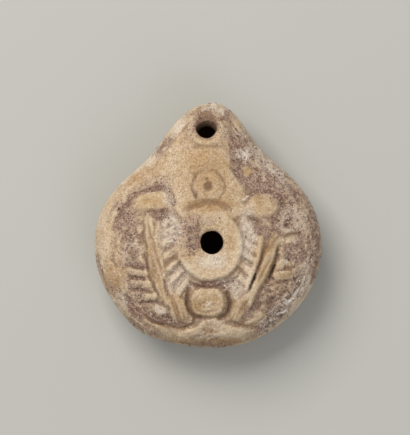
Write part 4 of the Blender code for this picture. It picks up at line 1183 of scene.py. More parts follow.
@dataclass(frozen=True)
class FiredClay:
    """Nile-silt terracotta, pressed in a mould and fired unglazed: buff, dull and slightly open-grained.

    To the eye it is a soft matt surface with no gloss, pale where it is rubbed and brown in its hollows,
    with purple-brown earth and whitish lime in specks of half a millimetre. Its ridges and rim are also
    painted paler as a highlight, and its hollows, crack lines and insides darker as shade. The specks are
    drawn a little coarser than the real ones, which are too fine to show.
    """

    name: str = "fired_nile_clay"
    buff: str = "C9B294"
    veil: Wash = Wash("8F7566", 0.9)
    chalk: Wash = Wash("DACDC0", 0.35)
    # Dirt and painted shade in the hollows, grooves and moats
    hollow_dirt_and_shade: Wash = Wash("684B36", 0.95)
    # Near-black painted shade in crack lines, slots and pits
    crack_shade: Wash = Wash("2E2018", 0.9)
    # Paler ridges and rim: rubbed clay and painted highlight
    rubbed_and_highlit: Wash = Wash("DCC9AA", 0.45)
    # Soot and painted shade inside the chamber and down the wick hole
    inside: Wash = Wash("5A4436", 1.0)
    roughness: float = 0.93
    ior: float = 1.45
    bump_mm: float = 0.18
    bump_strength: float = 0.8
    grain_mm: float = 0.5
    clay_tones: tuple[Speckle, ...] = (
        Speckle("BDA07D", "BF9C74", 7.0, 0.42, 0.62, 0, most=0.7, detail=3.0),
        Speckle("B39364", "A88656", 2.2, 0.46, 0.66, 11, most=0.55, detail=4.0),
        Speckle("E4D4BC", "D8C4A4", 0.6, 0.40, 0.62, 22, most=0.75, detail=3.0),
        Speckle("8F7052", "896C54", 0.5, 0.45, 0.66, 33, most=0.7, detail=3.0),
    )
    tint: Speckle = Speckle("B08E5E", "977146", 0.9, 0.42, 1.00, 37, lift=0.45, most=0.75, detail=4.0)
    earth: Speckle = Speckle("A98F82", "664B3C", 0.42, 0.48, 1.00, 53, lift=0.40, most=0.55, detail=3.0)
    lime: Speckle = Speckle("E6DCD0", "B8A898", 0.45, 0.50, 1.04, 89, lift=0.44, most=0.75, detail=2.0)
    white: Speckle = Speckle("F2EAE0", "DCCBB8", 0.50, 0.66, 1.12, 83, lift=0.70, most=0.95, detail=3.0)
    flecks: Speckle = Speckle("E0D2C8", "CFB9AE", 0.55, 0.61, 0.78, 97, lift=0.09, most=0.72, detail=3.0)
    dark_flecks: Speckle = Speckle("563F33", "6E5244", 0.50, 0.58, 0.75, 71, lift=0.09, most=0.8, detail=3.0)

    def make(self) -> bpy.types.Material:
        """Build the material.

        Returns:
            The finished material.
        """
        material, tree, place = new_material(self.name)
        earth, lime = self.attribute(tree, "earth"), self.attribute(tree, "lime")
        either = add_node(tree, "ShaderNodeMath", {"operation": "MAXIMUM"}, links={0: earth, 1: lime})
        # Plain clay and its yellow tint
        colour = self.buff
        for tone in self.clay_tones:
            colour = tone.lay(tree, place, colour)
        colour = self.tint.lay(tree, place, colour, self.attribute(tree, "ochre"))
        # Earth and lime, each a thin veil with specks over it
        colour = self.veil.lay(tree, colour, earth)
        colour = self.earth.lay(tree, place, colour, earth)
        colour = self.chalk.lay(tree, colour, lime)
        colour = self.lime.lay(tree, place, colour, lime)
        # Ridges paler as rubbed clay and painted highlight, hollows darker with dirt and painted shade,
        # chalk lines, and near-black painted shade in crack lines and pits
        colour = self.rubbed_and_highlit.lay(tree, colour, self.attribute(tree, "ridge"))
        colour = self.hollow_dirt_and_shade.lay(tree, colour, self.attribute(tree, "hollow_dirt_and_shade"))
        colour = self.dark_flecks.lay(tree, place, colour, earth)
        colour = self.white.lay(tree, place, colour, self.attribute(tree, "white"))
        colour = self.crack_shade.lay(tree, colour, self.attribute(tree, "crack_shade"))
        colour = self.flecks.lay(tree, place, colour, either.outputs[0])
        # Soot and painted shade inside the chamber and down the wick hole
        colour = self.inside.lay(tree, colour, self.attribute(tree, "inside"))
        grain = noise_level(tree, place, self.grain_mm, 4.0, roughness=0.7)
        finish_matt(tree, colour, grain, self)
        return material

    def attribute(self, tree: bpy.types.NodeTree, name: str) -> bpy.types.NodeSocket:
        """Read one of the mesh's painted strengths."""
        return add_node(tree, "ShaderNodeAttribute", {"attribute_name": name}).outputs["Fac"]


@dataclass(frozen=True)
class CrumbFinish:
    """Crumbs that cling to the clay: chalky lime or dry earth, matt and a little uneven in tone."""

    name: str
    light: str
    dark: str
    patch_mm: float = 1.4
    roughness: float = 0.95
    ior: float = 1.5
    bump_mm: float = 0.05
    bump_strength: float = 0.5

    def make(self) -> bpy.types.Material:
        """Build the material.

        Returns:
            The finished material.
        """
        material, tree, place = new_material(self.name)
        patches = noise_level(tree, place, self.patch_mm, 2.0)
        tone = two_tones(tree, patches, self.light, self.dark)
        finish_matt(tree, tone, patches, self)
        return material


@dataclass(frozen=True)
class SurfaceMap:
    """Values on a square raster over the lamp's top, blended in between."""

    values: Array
    corner: Point
    pitch: float

    def at(self, x: Array, y: Array) -> Array:
        """Read the map at each place."""
        rows, columns = self.values.shape
        across = np.clip((x - self.corner[0]) / self.pitch, 0.0, columns - 1.001)
        along = np.clip((y - self.corner[1]) / self.pitch, 0.0, rows - 1.001)
        left, low = across.astype(int), along.astype(int)
        across, along = across - left, along - low
        below = self.values[low, left] * (1.0 - across) + self.values[low, left + 1] * across
        above = self.values[low + 1, left] * (1.0 - across) + self.values[low + 1, left + 1] * across
        return below * (1.0 - along) + above * along

    def softened(self, radius: float) -> SurfaceMap:
        """Blur the map with a round bell of this radius in millimetres."""
        rows = np.fft.fftfreq(self.values.shape[0], self.pitch)[:, None]
        columns = np.fft.fftfreq(self.values.shape[1], self.pitch)[None, :]
        bell = np.exp(-2.0 * (math.pi * radius) ** 2 * (rows ** 2 + columns ** 2))
        values = np.real(np.fft.ifft2(np.fft.fft2(self.values) * bell))
        return SurfaceMap(values, self.corner, self.pitch)


@dataclass(frozen=True)
class WornSkin:
    """The lamp's top as use and burial have left it: relief, erosion, pits and deposits, with painted
    shade and highlight, as maps.
    """

    relief: ShoulderRelief
    stains: BurialStainsAndShade
    pitch: float = 0.2
    margin: float = 3.0
    bend: float = 1.1
    bend_pitch: float = 3.4
    crisp: float = 0.09
    worn: float = 0.45
    wear_pitch: float = 6.5
    wear_start: float = 0.42
    wear_contrast: float = 3.2
    height_left: float = 0.85
    height_worn: float = 0.25
    hollow_share: float = 0.6
    sheltered: tuple[Stain, ...] = (
        Stain((0.4, 20.2), (8.5, 8.0)), Stain((0.5, -19.5), (10.0, 8.0), 0.8),
        Stain((-12.0, -27.0), (10.0, 2.6), 0.8), Stain((18.0, -7.0), (4.0, 9.0), 0.9, -18.0),
        Stain((-23.5, -10.0), (6.0, 8.0), 0.7), Stain((-17.8, -4.0), (4.4, 14.0), 0.95, 6.0),
        Stain((-11.0, -8.0), (4.0, 9.0), 0.8, 14.0), Stain((13.6, -5.0), (4.0, 11.0), 0.9, -12.0),
    )
    rough: tuple[Stain, ...] = (
        Stain((23.0, -21.5), (8.5, 6.5), 1.0, -40.0), Stain((-1.0, -30.5), (9.0, 2.8), 0.9),
        Stain((4.5, 44.0), (6.5, 4.0), 0.7, -20.0), Stain((-21.0, -20.5), (8.0, 4.5), 0.7, -30.0),
        Stain((0.1, -19.1), (5.0, 4.0), 0.7), Stain((13.0, 30.0), (5.0, 10.0), 0.5, 25.0),
        Stain((34.0, 0.0), (4.0, 16.0), 0.5), Stain((-25.5, -3.0), (5.0, 8.0), 0.6),
        Stain((-6.5, 2.0), (5.0, 9.0), 0.5), Stain((-12.5, 5.0), (3.5, 7.0), 0.6, -8.0),
        Stain((13.0, 2.0), (3.0, 12.0), 0.5), Stain((28.0, -3.0), (5.0, 6.0), 0.6),
    )
    lump_pitch: float = 5.0
    lump_height: float = 0.6
    grain_pitch: float = 1.5
    clean_grain: float = 0.22
    crust_grain: float = 0.36
    flake_pitch: float = 1.2
    flake_height: float = 0.55
    pit_pitch: float = 1.2
    pit_start: float = 0.32
    pit_slope: float = 0.12
    pit_depth: float = 0.22
    furrow_depth: float = 0.22
    stem_furrows: float = 0.6
    lime_crust: float = 0.7
    hollow_start: float = 0.1
    lime_fills: float = 0.6
    ridge_start: float = 0.2
    ochre_hides: float = 0.55
    field_earth: float = 0.2
    lines_on_ridges: float = 0.7
    low_radii: tuple[float, float, float] = (0.45, 1.0, 2.6)
    low_weights: tuple[float, float, float] = (2.2, 1.4, 0.8)
    low_full: float = 0.42

    def maps(self) -> dict[str, SurfaceMap]:
        """Work out every map of the top.

        Returns:
            The height over the smooth dome and the strength of each finish, by name.
        """
        form = self.relief.form
        corner = (-form.half_width - self.margin, -form.half_depth - self.margin)
        top = form.half_depth + form.nozzle_reach + self.margin
        columns = np.arange(corner[0], -corner[0], self.pitch)
        rows = np.arange(corner[1], top, self.pitch)
        x, y = np.meshgrid(columns, rows)
        level = np.full(x.size, form.seam_height + form.dome_rise)
        points = np.stack([x.ravel(), y.ravel(), level], axis=1)
        covers = {deposit.value: self.stains.cover(deposit, points).reshape(x.shape) for deposit in Deposit}
        bend_x = GroundNoise(Seed.BEND_ACROSS).layers(points, self.bend_pitch, 3, 0.7).reshape(x.shape) - 0.5
        bend_y = GroundNoise(Seed.BEND_ALONG).layers(points, self.bend_pitch, 3, 0.7).reshape(x.shape) - 0.5
        bent = self.relief.heights(x + self.bend * bend_x, y + self.bend * bend_y)
        relief = SurfaceMap(bent, corner, self.pitch)
        wear = self.wear(points, x, y)
        height = settle(relief.softened(self.crisp).values, relief.softened(self.worn).values, wear)
        height = height * (self.height_left - self.height_worn * wear)
        height = height + self.erosion(points, x.shape, covers)
        low = self.lowness(SurfaceMap(height, corner, self.pitch))
        values = {**covers, "height": height, **self.dirt_shade_and_highlights(points, x, y, low, covers)}
        return {name: SurfaceMap(value, corner, self.pitch) for name, value in values.items()}

    def wear(self, points: Array, x: Array, y: Array) -> Array:
        """Say how far the relief is rubbed down, from 0 to 1: in patches, and less where it is sheltered."""
        patches = GroundNoise(Seed.WEAR).layers(points, self.wear_pitch, 2) - self.wear_start
        wear = np.clip(self.wear_contrast * patches, 0.0, 1.0).reshape(x.shape)
        for place in self.sheltered:
            wear = wear * (1.0 - place.cover(x, y))
        return wear

    def dirt_shade_and_highlights(self, points: Array, x: Array, y: Array, low: Array,
             covers: dict[str, Array]) -> dict[str, Array]:
        """Work out where dirt packs in with painted shade, where painted shade lies in each crack, slot and
        pit, where chalk lines run, and where ridges are rubbed and get a painted highlight.

        Args:
            points: The raster's places.
            x: The same places across the lamp, as a raster.
            y: The same places along the lamp, as a raster.
            low: How far the skin lies under what is round it.
            covers: Strength of each deposit.

        Returns:
            The strength of each finish that the relief changes, from 0 to 1.
        """
        stains = self.stains
        packed_dirt_and_shade, crack_shade_lines, limed = (stains.along_lines(points, lines).reshape(x.shape)
                                  for lines in (stains.dirt_and_shade_smudges, stains.crack_shade_marks, stains.lime_lines))
        lined = stains.stem_grain(points).reshape(x.shape)
        packed_dirt_and_shade = np.maximum(packed_dirt_and_shade, np.clip(0.5 * lined, 0.0, 0.5))
        # Dirt with painted shade: darker the lower the skin lies under what is round it, less where lime
        # fills
        cavity_dirt_and_shade = self.hollow_share * np.clip(low - self.hollow_start, 0.0, 1.0)
        cavity_dirt_and_shade = cavity_dirt_and_shade * (1.0 - self.lime_fills * covers["lime"])
        field = soft_step(self.relief.field_edge(x, y), 3.0)
        # Rubbed clay with a painted highlight: paler on sharp ridges, less under ochre
        rubbed_and_highlit = np.clip(-low - self.ridge_start, 0.0, 1.0) * (1.0 - self.ochre_hides * covers["ochre"])
        strengths = {
            "earth": covers["earth"] * (1.0 + 0.25 * low) + self.field_earth * field * low,
            "hollow_dirt_and_shade": np.maximum(cavity_dirt_and_shade, packed_dirt_and_shade),
            "crack_shade": crack_shade_lines,
            "white": limed,
            "ridge": rubbed_and_highlit - self.lines_on_ridges * lined,
        }
        return {name: np.clip(strength, 0.0, 1.0) for name, strength in strengths.items()}

    def erosion(self, points: Array, shape: tuple[int, ...], covers: dict[str, Array]) -> Array:
        """Make the unevenness of the skin: soft lumps, grain, crust and pits.

        Args:
            points: The raster's places.
            shape: The raster's rows and columns.
            covers: Strength of each deposit.

        Returns:
            Heights to add.
        """
        lumps = GroundNoise(Seed.LUMPS).layers(points, self.lump_pitch, 3, 0.65).reshape(shape) - 0.5
        grain = GroundNoise(Seed.GRAIN).layers(points, self.grain_pitch, 3, 0.8).reshape(shape) - 0.5
        pits = GroundNoise(Seed.PITS).layers(points, self.pit_pitch, 2, 0.6).reshape(shape)
        crust = np.clip(covers["earth"] + self.lime_crust * covers["lime"], 0.0, 1.0)
        coarse = self.clean_grain + (self.crust_grain - self.clean_grain) * crust
        in_pits = np.clip((self.pit_start - pits) / self.pit_slope, 0.0, 1.0)
        sunk = self.pit_depth * in_pits * (0.25 + 0.75 * crust)
        rough = np.zeros(len(points))
        for place in self.rough:
            rough = np.maximum(rough, place.cover(points[:, 0], points[:, 1]))
        flaking = GroundNoise(Seed.FLAKES).layers(points, self.flake_pitch, 2, 0.7) - 0.5
        flakes = (rough * flaking).reshape(shape)
        lumps = self.lump_height * (0.6 + 0.8 * crust) * lumps
        furrows = self.stains.edge_streaks(points) + self.stem_furrows * self.stains.stem_grain(points)
        furrows = self.furrow_depth * furrows.reshape(shape)
        return lumps + 2.0 * coarse * grain + 2.0 * self.flake_height * flakes - sunk - furrows

    def lowness(self, height: SurfaceMap) -> Array:
        """Find how far the skin lies under (positive) or over (negative) what is round it.

        Args:
            height: The finished heights.

        Returns:
            From -1 on a sharp ridge, which is painted paler as rubbed clay and highlight, to 1 in a narrow
            hollow, which is painted darker as dirt and shade.
        """
        near, middle, far = (height.softened(radius).values for radius in self.low_radii)
        fine, medium, broad = self.low_weights
        low = fine * (near - height.values) + medium * (middle - near) + broad * (far - middle)
        return np.clip(low / self.low_full, -1.0, 1.0)


@dataclass(frozen=True)
class LampBody:
    """The lamp itself: one hollow piece of fired clay, with its relief and its worn skin."""

    form: LampForm
    skin: WornSkin
    finish: FiredClay
    name: str = "lamp_body_skin"
    top_cells: int = 288
    under_cells: int = 96
    hole_sides: int = 96
    chamber_sectors: int = 96
    chamber_rings: int = 12
    crowded_from: float = 0.85
    crowded_width: float = 0.15
    crowding: float = 0.035
    pad_cells: float = 0.36
    rim_cells: float = 0.40
    bowl_crowding: float = 1.25
    calm_edge: float = 0.1
    under_waviness: float = 0.5
    under_wave_pitch: float = 9.0
    under_grain: float = 0.12
    under_grain_pitch: float = 1.5
    seam_fade: float = 0.06
    seam_width: float = 0.05
    hole_wobble: float = 0.5
    # Painted highlight, with rubbed clay, along the rim's seam
    edge_wear_and_highlight: float = 3.0
    skin_depth: float = 1.2
    skin_fade: float = 1.6
    flank_start: float = 0.88
    flank_width: float = 0.12
    flank_slip: float = 0.16
    # Soot and painted shade, deepening with depth, inside the chamber and down the wick hole
    soot_and_shade_fade: float = 2.5
    mouth_soot_and_shade: float = 0.45
    mouth_soot_and_shade_fade: float = 4.0
    sliver: float = 0.012
    sharp_angle: float = 62.0

    def build(self) -> bpy.types.Object:
        """Make the lamp, cut its holes and dress it.

        Returns:
            The finished piece.
        """
        maps = self.skin.maps()
        shell = self.closed_shell(maps["height"])
        cutters = [self.chamber(), self.hole(self.form.filling_hole, self.form.filling_radius),
                   self.hole(self.form.wick_hole, self.form.wick_radius, self.form.wick_slant,
                             self.form.wick_narrowing)]
        body = self.cut(shell, cutters)
        self.paint(body.data, maps)
        body.data.materials.clear()
        body.data.materials.append(self.finish.make())
        body.data.shade_smooth()
        body.data.set_sharp_from_angle(angle=math.radians(self.sharp_angle))
        return body

    def disc_grid(self, cells: int) -> tuple[Array, Array]:
        """Lay a square grid onto a disc without gathering its cells at the middle.

        Args:
            cells: Cells along each side of the square.

        Returns:
            The share of the way to the edge and the angle of each point, row by row.
        """
        line = np.linspace(-1.0, 1.0, cells + 1)
        a, b = np.meshgrid(line, line)
        wide = np.abs(a) >= np.abs(b)
        long_side = np.where(wide, a, b)
        short_side = np.where(wide, b, a)
        ratio = short_side / np.where(long_side == 0.0, 1.0, long_side)
        angle = np.where(wide, ratio, 2.0 - ratio) * 0.25 * math.pi
        return np.abs(long_side), np.where(long_side < 0.0, angle + math.pi, angle)

    def edge_share(self, way: Array) -> Array:
        """Crowd the outer rings, where the dome turns down steeply."""
        last = np.clip((way - self.crowded_from) / self.crowded_width, 0.0, 1.0)
        return (way - self.crowding * last ** 3) / (1.0 - self.crowding)

    def top_points(self, height: SurfaceMap) -> Array:
        """Place the grid of the top.

        Args:
            height: The worn relief.

        Returns:
            Points row by row, in millimetres.
        """
        way, angle = self.disc_grid(self.top_cells)
        share = self.edge_share(way)
        radius = self.form.outer_radius(angle) * share
        x, y = radius * np.cos(angle), radius * np.sin(angle)
        fade = soft_step(share - 0.97, self.seam_fade)
        z = self.form.seam_height + self.form.dome(share, self.form.dome_rise) + height.at(x, y) * fade
        return np.stack([x, y, z], axis=-1)

    def under_points(self) -> Array:
        """Place the grid of the underside: the flat base, its low edge and the bowl.

        Returns:
            Points row by row, in millimetres.
        """
        way, angle = self.disc_grid(self.under_cells)
        edge = self.form.outer_radius(angle)
        pad, rim = self.form.base_radius, self.form.base_radius + self.form.pad_edge
        pad_way, rim_way = self.pad_cells, self.rim_cells
        share = np.clip((way - rim_way) / (1.0 - rim_way), 0.0, 1.0)
        share = np.sin(0.5 * math.pi * share) ** self.bowl_crowding
        flat = np.clip(way / pad_way, 0.0, 1.0) * pad
        step = np.clip((way - pad_way) / (rim_way - pad_way), 0.0, 1.0)
        radius = np.where(way > rim_way, rim + (edge - rim) * share, flat + (rim - pad) * step)
        z = np.where(way > rim_way, self.form.bowl(share), self.form.pad_height * step)
        x, y = radius * np.cos(angle), radius * np.sin(angle)
        points = np.stack([x, y, z], axis=-1)
        from_base, from_seam = share / self.calm_edge, (1.0 - share) / self.calm_edge
        rough = self.roughness(points.reshape(-1, 3)).reshape(x.shape) * np.clip(from_base, 0.0, 1.0)
        rough = rough * np.clip(from_seam, 0.0, 1.0)
        points[..., 0] -= rough * np.cos(angle) * share
        points[..., 1] -= rough * np.sin(angle) * share
        points[..., 2] += rough * (1.0 - share)
        return points

    def roughness(self, points: Array) -> Array:
        """Depth by which fingers and the ground have left the plain underside uneven."""
        waves = GroundNoise(Seed.UNDER_WAVES).layers(points, self.under_wave_pitch, 2)
        grain = GroundNoise(Seed.UNDER_GRAIN).layers(points, self.under_grain_pitch, 2)
        return self.under_waviness * waves + self.under_grain * grain

    def closed_shell(self, height: SurfaceMap) -> bpy.types.Object:
        """Join the top and the underside into one closed surface.

        Args:
            height: The worn relief of the top.

        Returns:
            The lamp without its hollow.
        """
        top, under = self.top_points(height), self.under_points()
        step = self.top_cells // self.under_cells
        side, low_side = self.top_cells + 1, self.under_cells + 1
        number = np.arange(low_side * low_side).reshape(low_side, low_side) + side * side
        rim = np.zeros((low_side, low_side), dtype=bool)
        rim[[0, -1], :] = True
        rim[:, [0, -1]] = True
        upper = np.arange(side * side).reshape(side, side)
        number[rim] = upper[::step, ::step][rim]
        inner = np.cumsum(~rim.ravel()).reshape(rim.shape) - 1 + side * side
        number[~rim] = inner[~rim]
        points = np.concatenate([top.reshape(-1, 3), under[~rim]])
        faces = np.stack([upper[:-1, :-1], upper[:-1, 1:], upper[1:, 1:], upper[1:, :-1]], axis=-1)
        all_faces = faces.reshape(-1, 4).tolist()
        for row in range(self.under_cells):
            for column in range(self.under_cells):
                all_faces.append(self.under_face(number, upper, row, column, step))
        return self.mesh_object(self.name, points, all_faces)

    def under_face(self, number: Array, upper: Array, row: int, column: int, step: int) -> list[int]:
        """List the points of one face of the underside, with the top's extra points on the rim.

        Args:
            number: Point numbers of the underside's grid.
            upper: Point numbers of the top's grid.
            row: The face's row.
            column: The face's column.
            step: Cells of the top for each cell of the underside.

        Returns:
            The point numbers, turned to face down.
        """
        last = self.under_cells
        corners = [(row, column), (row + 1, column), (row + 1, column + 1), (row, column + 1)]
        face = []
        for start, end in zip(corners, corners[1:] + corners[:1]):
            face.append(int(number[start]))
            on_rim = any(start[axis] == end[axis] and start[axis] in (0, last) for axis in (0, 1))
            for part in range(1, step if on_rim else 1):
                between = tuple(start[axis] * step + (end[axis] - start[axis]) * part for axis in (0, 1))
                face.append(int(upper[between]))
        return face

    def mesh_object(self, name: str, points: Array, faces: list[list[int]]) -> bpy.types.Object:
        """Make an object from points in millimetres and faces.

        Args:
            name: The object's name.
            points: Rows of x, y and z.
            faces: Point numbers of each face.

        Returns:
            The object, at the origin.
        """
        mesh = bpy.data.meshes.new(name)
        mesh.from_pydata((points * MM).tolist(), [], faces)
        mesh.update()
        item = bpy.data.objects.new(name, mesh)
        bpy.context.collection.objects.link(item)
        return item

    def ring_shell(self, name: str, rings: list[Array], top: Array, bottom: Array) -> bpy.types.Object:
        """Close a stack of rings between two end points.

        Args:
            name: The object's name.
            rings: Rings of points, from the top down.
            top: The upper end point.
            bottom: The lower end point.

        Returns:
            The closed object.
        """
        sides = len(rings[0])
        points = np.concatenate([top[None, :], *rings, bottom[None, :]])
        last = len(points) - 1
        faces = []
        for side in range(sides):
            after = (side + 1) % sides
            faces.append([0, 1 + side, 1 + after])
            for upper in range(1, 1 + (len(rings) - 1) * sides, sides):
                lower = upper + sides
                faces.append([upper + side, lower + side, lower + after, upper + after])
            lowest = 1 + (len(rings) - 1) * sides
            faces.append([last, lowest + after, lowest + side])
        return self.mesh_object(name, points, faces)

    def chamber(self) -> bpy.types.Object:
        """Make the cutter of the oil chamber, a wall's thickness inside the lamp.

        Returns:
            The cutter.
        """
        form = self.form
        angle = np.arange(self.chamber_sectors) * 2.0 * math.pi / self.chamber_sectors
        edge = form.inner_radius(angle)
        rings = []
        for index in range(1, 2 * self.chamber_rings):
            turn = 0.5 * math.pi * index / self.chamber_rings
            share = math.sin(turn)
            if index <= self.chamber_rings:
                level = form.seam_height + form.dome(share, form.dome_rise - form.wall)
            else:
                level = self.chamber_floor(share)
            radius = edge * share
            rings.append(np.stack([radius * np.cos(angle), radius * np.sin(angle),
                                   np.full(angle.shape, level)], axis=1))
        top = np.array([0.0, 0.0, form.seam_height + form.dome_rise - form.wall])
        return self.ring_shell("chamber_cutter", rings, top, np.array([0.0, 0.0, form.wall]))

    def hole(self, place: Point, radius: float, slant: float = 0.0,
             narrowing: float = 0.0) -> bpy.types.Object:
        """Make the cutter of a round hole, pressed through by hand and so not quite round.

        Args:
            place: The hole's middle at the surface.
            radius: Its radius.
            slant: How far it runs back towards the lamp's middle for each millimetre of depth.
            narrowing: How much its radius shrinks for each millimetre of depth.

        Returns:
            The cutter.
        """
        angle = np.arange(self.hole_sides) * 2.0 * math.pi / self.hole_sides
        surface = self.form.seam_height + self.form.dome(
            math.hypot(*place) / float(self.form.outer_radius(np.array(math.atan2(place[1], place[0])))),
            self.form.dome_rise)
        levels = np.arange(self.form.seam_height + self.form.dome_rise + 5.0, self.form.seam_height, -0.5)
        rings = []
        for level in levels:
            depth = max(surface - level, 0.0)
            middle = (place[0], place[1] - slant * depth)
            width = radius - narrowing * min(depth, self.form.wall)
            heights = np.full(angle.shape, level)
            points = np.stack([width * np.cos(angle), width * np.sin(angle), heights], axis=1)
            uneven = self.hole_wobble * (GroundNoise(Seed.HOLE_EDGE).layers(points, 3.0, 2) - 0.5) / radius
            points[:, 0] = middle[0] + points[:, 0] * (1.0 + uneven)
            points[:, 1] = middle[1] + points[:, 1] * (1.0 + uneven)
            rings.append(points)
        top, bottom = (np.array([ring[:, 0].mean(), ring[:, 1].mean(), ring[0, 2]])
                       for ring in (rings[0], rings[-1]))
        return self.ring_shell("hole_cutter", rings, top, bottom)

    def cut(self, shell: bpy.types.Object, cutters: list[bpy.types.Object]) -> bpy.types.Object:
        """Take the cutters out of the shell, and keep the result as a plain mesh.

        Args:
            shell: The closed lamp.
            cutters: The shapes to take out.

        Returns:
            The same object with its new mesh.
        """
        for cutter in cutters:
            step = shell.modifiers.new(cutter.name, "BOOLEAN")
            step.operation = "DIFFERENCE"
            step.solver = "MANIFOLD"
            step.object = cutter
        graph = bpy.context.evaluated_depsgraph_get()
        mesh = bpy.data.meshes.new_from_object(shell.evaluated_get(graph))
        shell.modifiers.clear()
        self.close_slivers(mesh)
        shell.data = mesh
        mesh.name = self.name
        for cutter in cutters:
            bpy.data.objects.remove(cutter, do_unlink=True)
        return shell

    def close_slivers(self, mesh: bpy.types.Mesh) -> None:
        """Merge the hair-thin faces that cutting leaves along the holes, and drop flakes left over.

        Args:
            mesh: The mesh after cutting.
        """
        work = bmesh.new()
        work.from_mesh(mesh)
        bmesh.ops.triangulate(work, faces=[face for face in work.faces if len(face.verts) > 4])
        bmesh.ops.remove_doubles(work, verts=work.verts, dist=self.sliver * MM)
        bmesh.ops.dissolve_degenerate(work, edges=work.edges, dist=self.sliver * MM)
        same_corners: dict[frozenset[bmesh.types.BMVert], list[bmesh.types.BMFace]] = {}
        for face in work.faces:
            same_corners.setdefault(frozenset(face.verts), []).append(face)
        flakes = [face for faces in same_corners.values() if len(faces) > 1 for face in faces]
        bmesh.ops.delete(work, geom=flakes, context="FACES")
        work.to_mesh(mesh)
        work.free()
        mesh.update()

    def paint(self, mesh: bpy.types.Mesh, maps: dict[str, SurfaceMap]) -> None:
        """Store the strength of each finish on the mesh's points.

        Args:
            mesh: The lamp's mesh.
            maps: The maps of the top.
        """
        places = np.zeros(len(mesh.vertices) * 3, dtype=np.float32)
        mesh.vertices.foreach_get("co", places)
        points = places.reshape(-1, 3).astype(float) / MM
        x, y = points[:, 0], points[:, 1]
        share = np.hypot(x, y) / self.form.outer_radius(np.arctan2(y, x))
        smooth = self.form.seam_height + self.form.dome(share, self.form.dome_rise)
        depth = smooth + maps["height"].at(x, y) - points[:, 2]
        on_top = soft_step(depth - self.skin_depth, self.skin_fade)
        flank = np.clip((share - self.flank_start) / self.flank_width, 0.0, 1.0)
        uneven = GroundNoise(Seed.FLANK_SLIP).layers(points, 2.5, 3, 0.7) - 0.5
        slip = 1.0 + self.flank_slip * flank * uneven
        strengths = {name: maps[name].at(x * slip, y * slip) * on_top
                     for name in ("earth", "lime", "ochre", "hollow_dirt_and_shade", "crack_shade", "white", "ridge")}
        # A painted highlight, with rubbed clay, along the rim's seam
        seam = soft_line(share - 1.0, self.seam_width) * GroundNoise(Seed.SEAM_WEAR_AND_HIGHLIGHT).layers(points, 4.0, 2)
        strengths["ridge"] = np.clip(strengths["ridge"] + self.edge_wear_and_highlight * seam, 0.0, 1.0)
        # Soot and painted shade inside the chamber and down the wick hole
        strengths["inside"] = self.soot_and_shade(points, depth)
        for name, strength in strengths.items():
            layer = mesh.attributes.new(name, "FLOAT", "POINT")
            layer.data.foreach_set("value", strength.astype(np.float32))

    def soot_and_shade(self, points: Array, depth: Array) -> Array:
        """Darken the chamber's walls, and the wick hole from its mouth down, with soot and painted shade
        that deepens with depth.

        Args:
            points: Places as rows of x, y and z in millimetres.
            depth: How far each place lies under the top.

        Returns:
            Strength at each place, from 0 to 1.
        """
        x, y = points[:, 0], points[:, 1]
        inner_share = np.clip(np.hypot(x, y) / self.form.inner_radius(np.arctan2(y, x)), 0.0, 1.0)
        over_floor = points[:, 2] - self.chamber_floor(inner_share) + 0.5 > 0.0
        chamber = np.clip((depth - self.skin_depth) / self.soot_and_shade_fade, 0.0, 1.0) * over_floor
        chamber = chamber * (inner_share < 1.0)
        wick_x, wick_y = self.form.wick_hole
        in_wick_hole = (np.hypot(x - wick_x, y - wick_y) < self.form.wick_radius + 0.1) * over_floor
        mouth = np.clip(self.mouth_soot_and_shade + depth / self.mouth_soot_and_shade_fade, 0.0, 1.0) * in_wick_hole
        return np.maximum(chamber, mouth)

    def chamber_floor(self, share: Array | float) -> Array | float:
        """Height of the chamber's floor, by the share of the way to its widest line."""
        form = self.form
        return form.wall + (form.seam_height - form.wall) * (1.0 - (1.0 - share ** 2) ** 0.55)


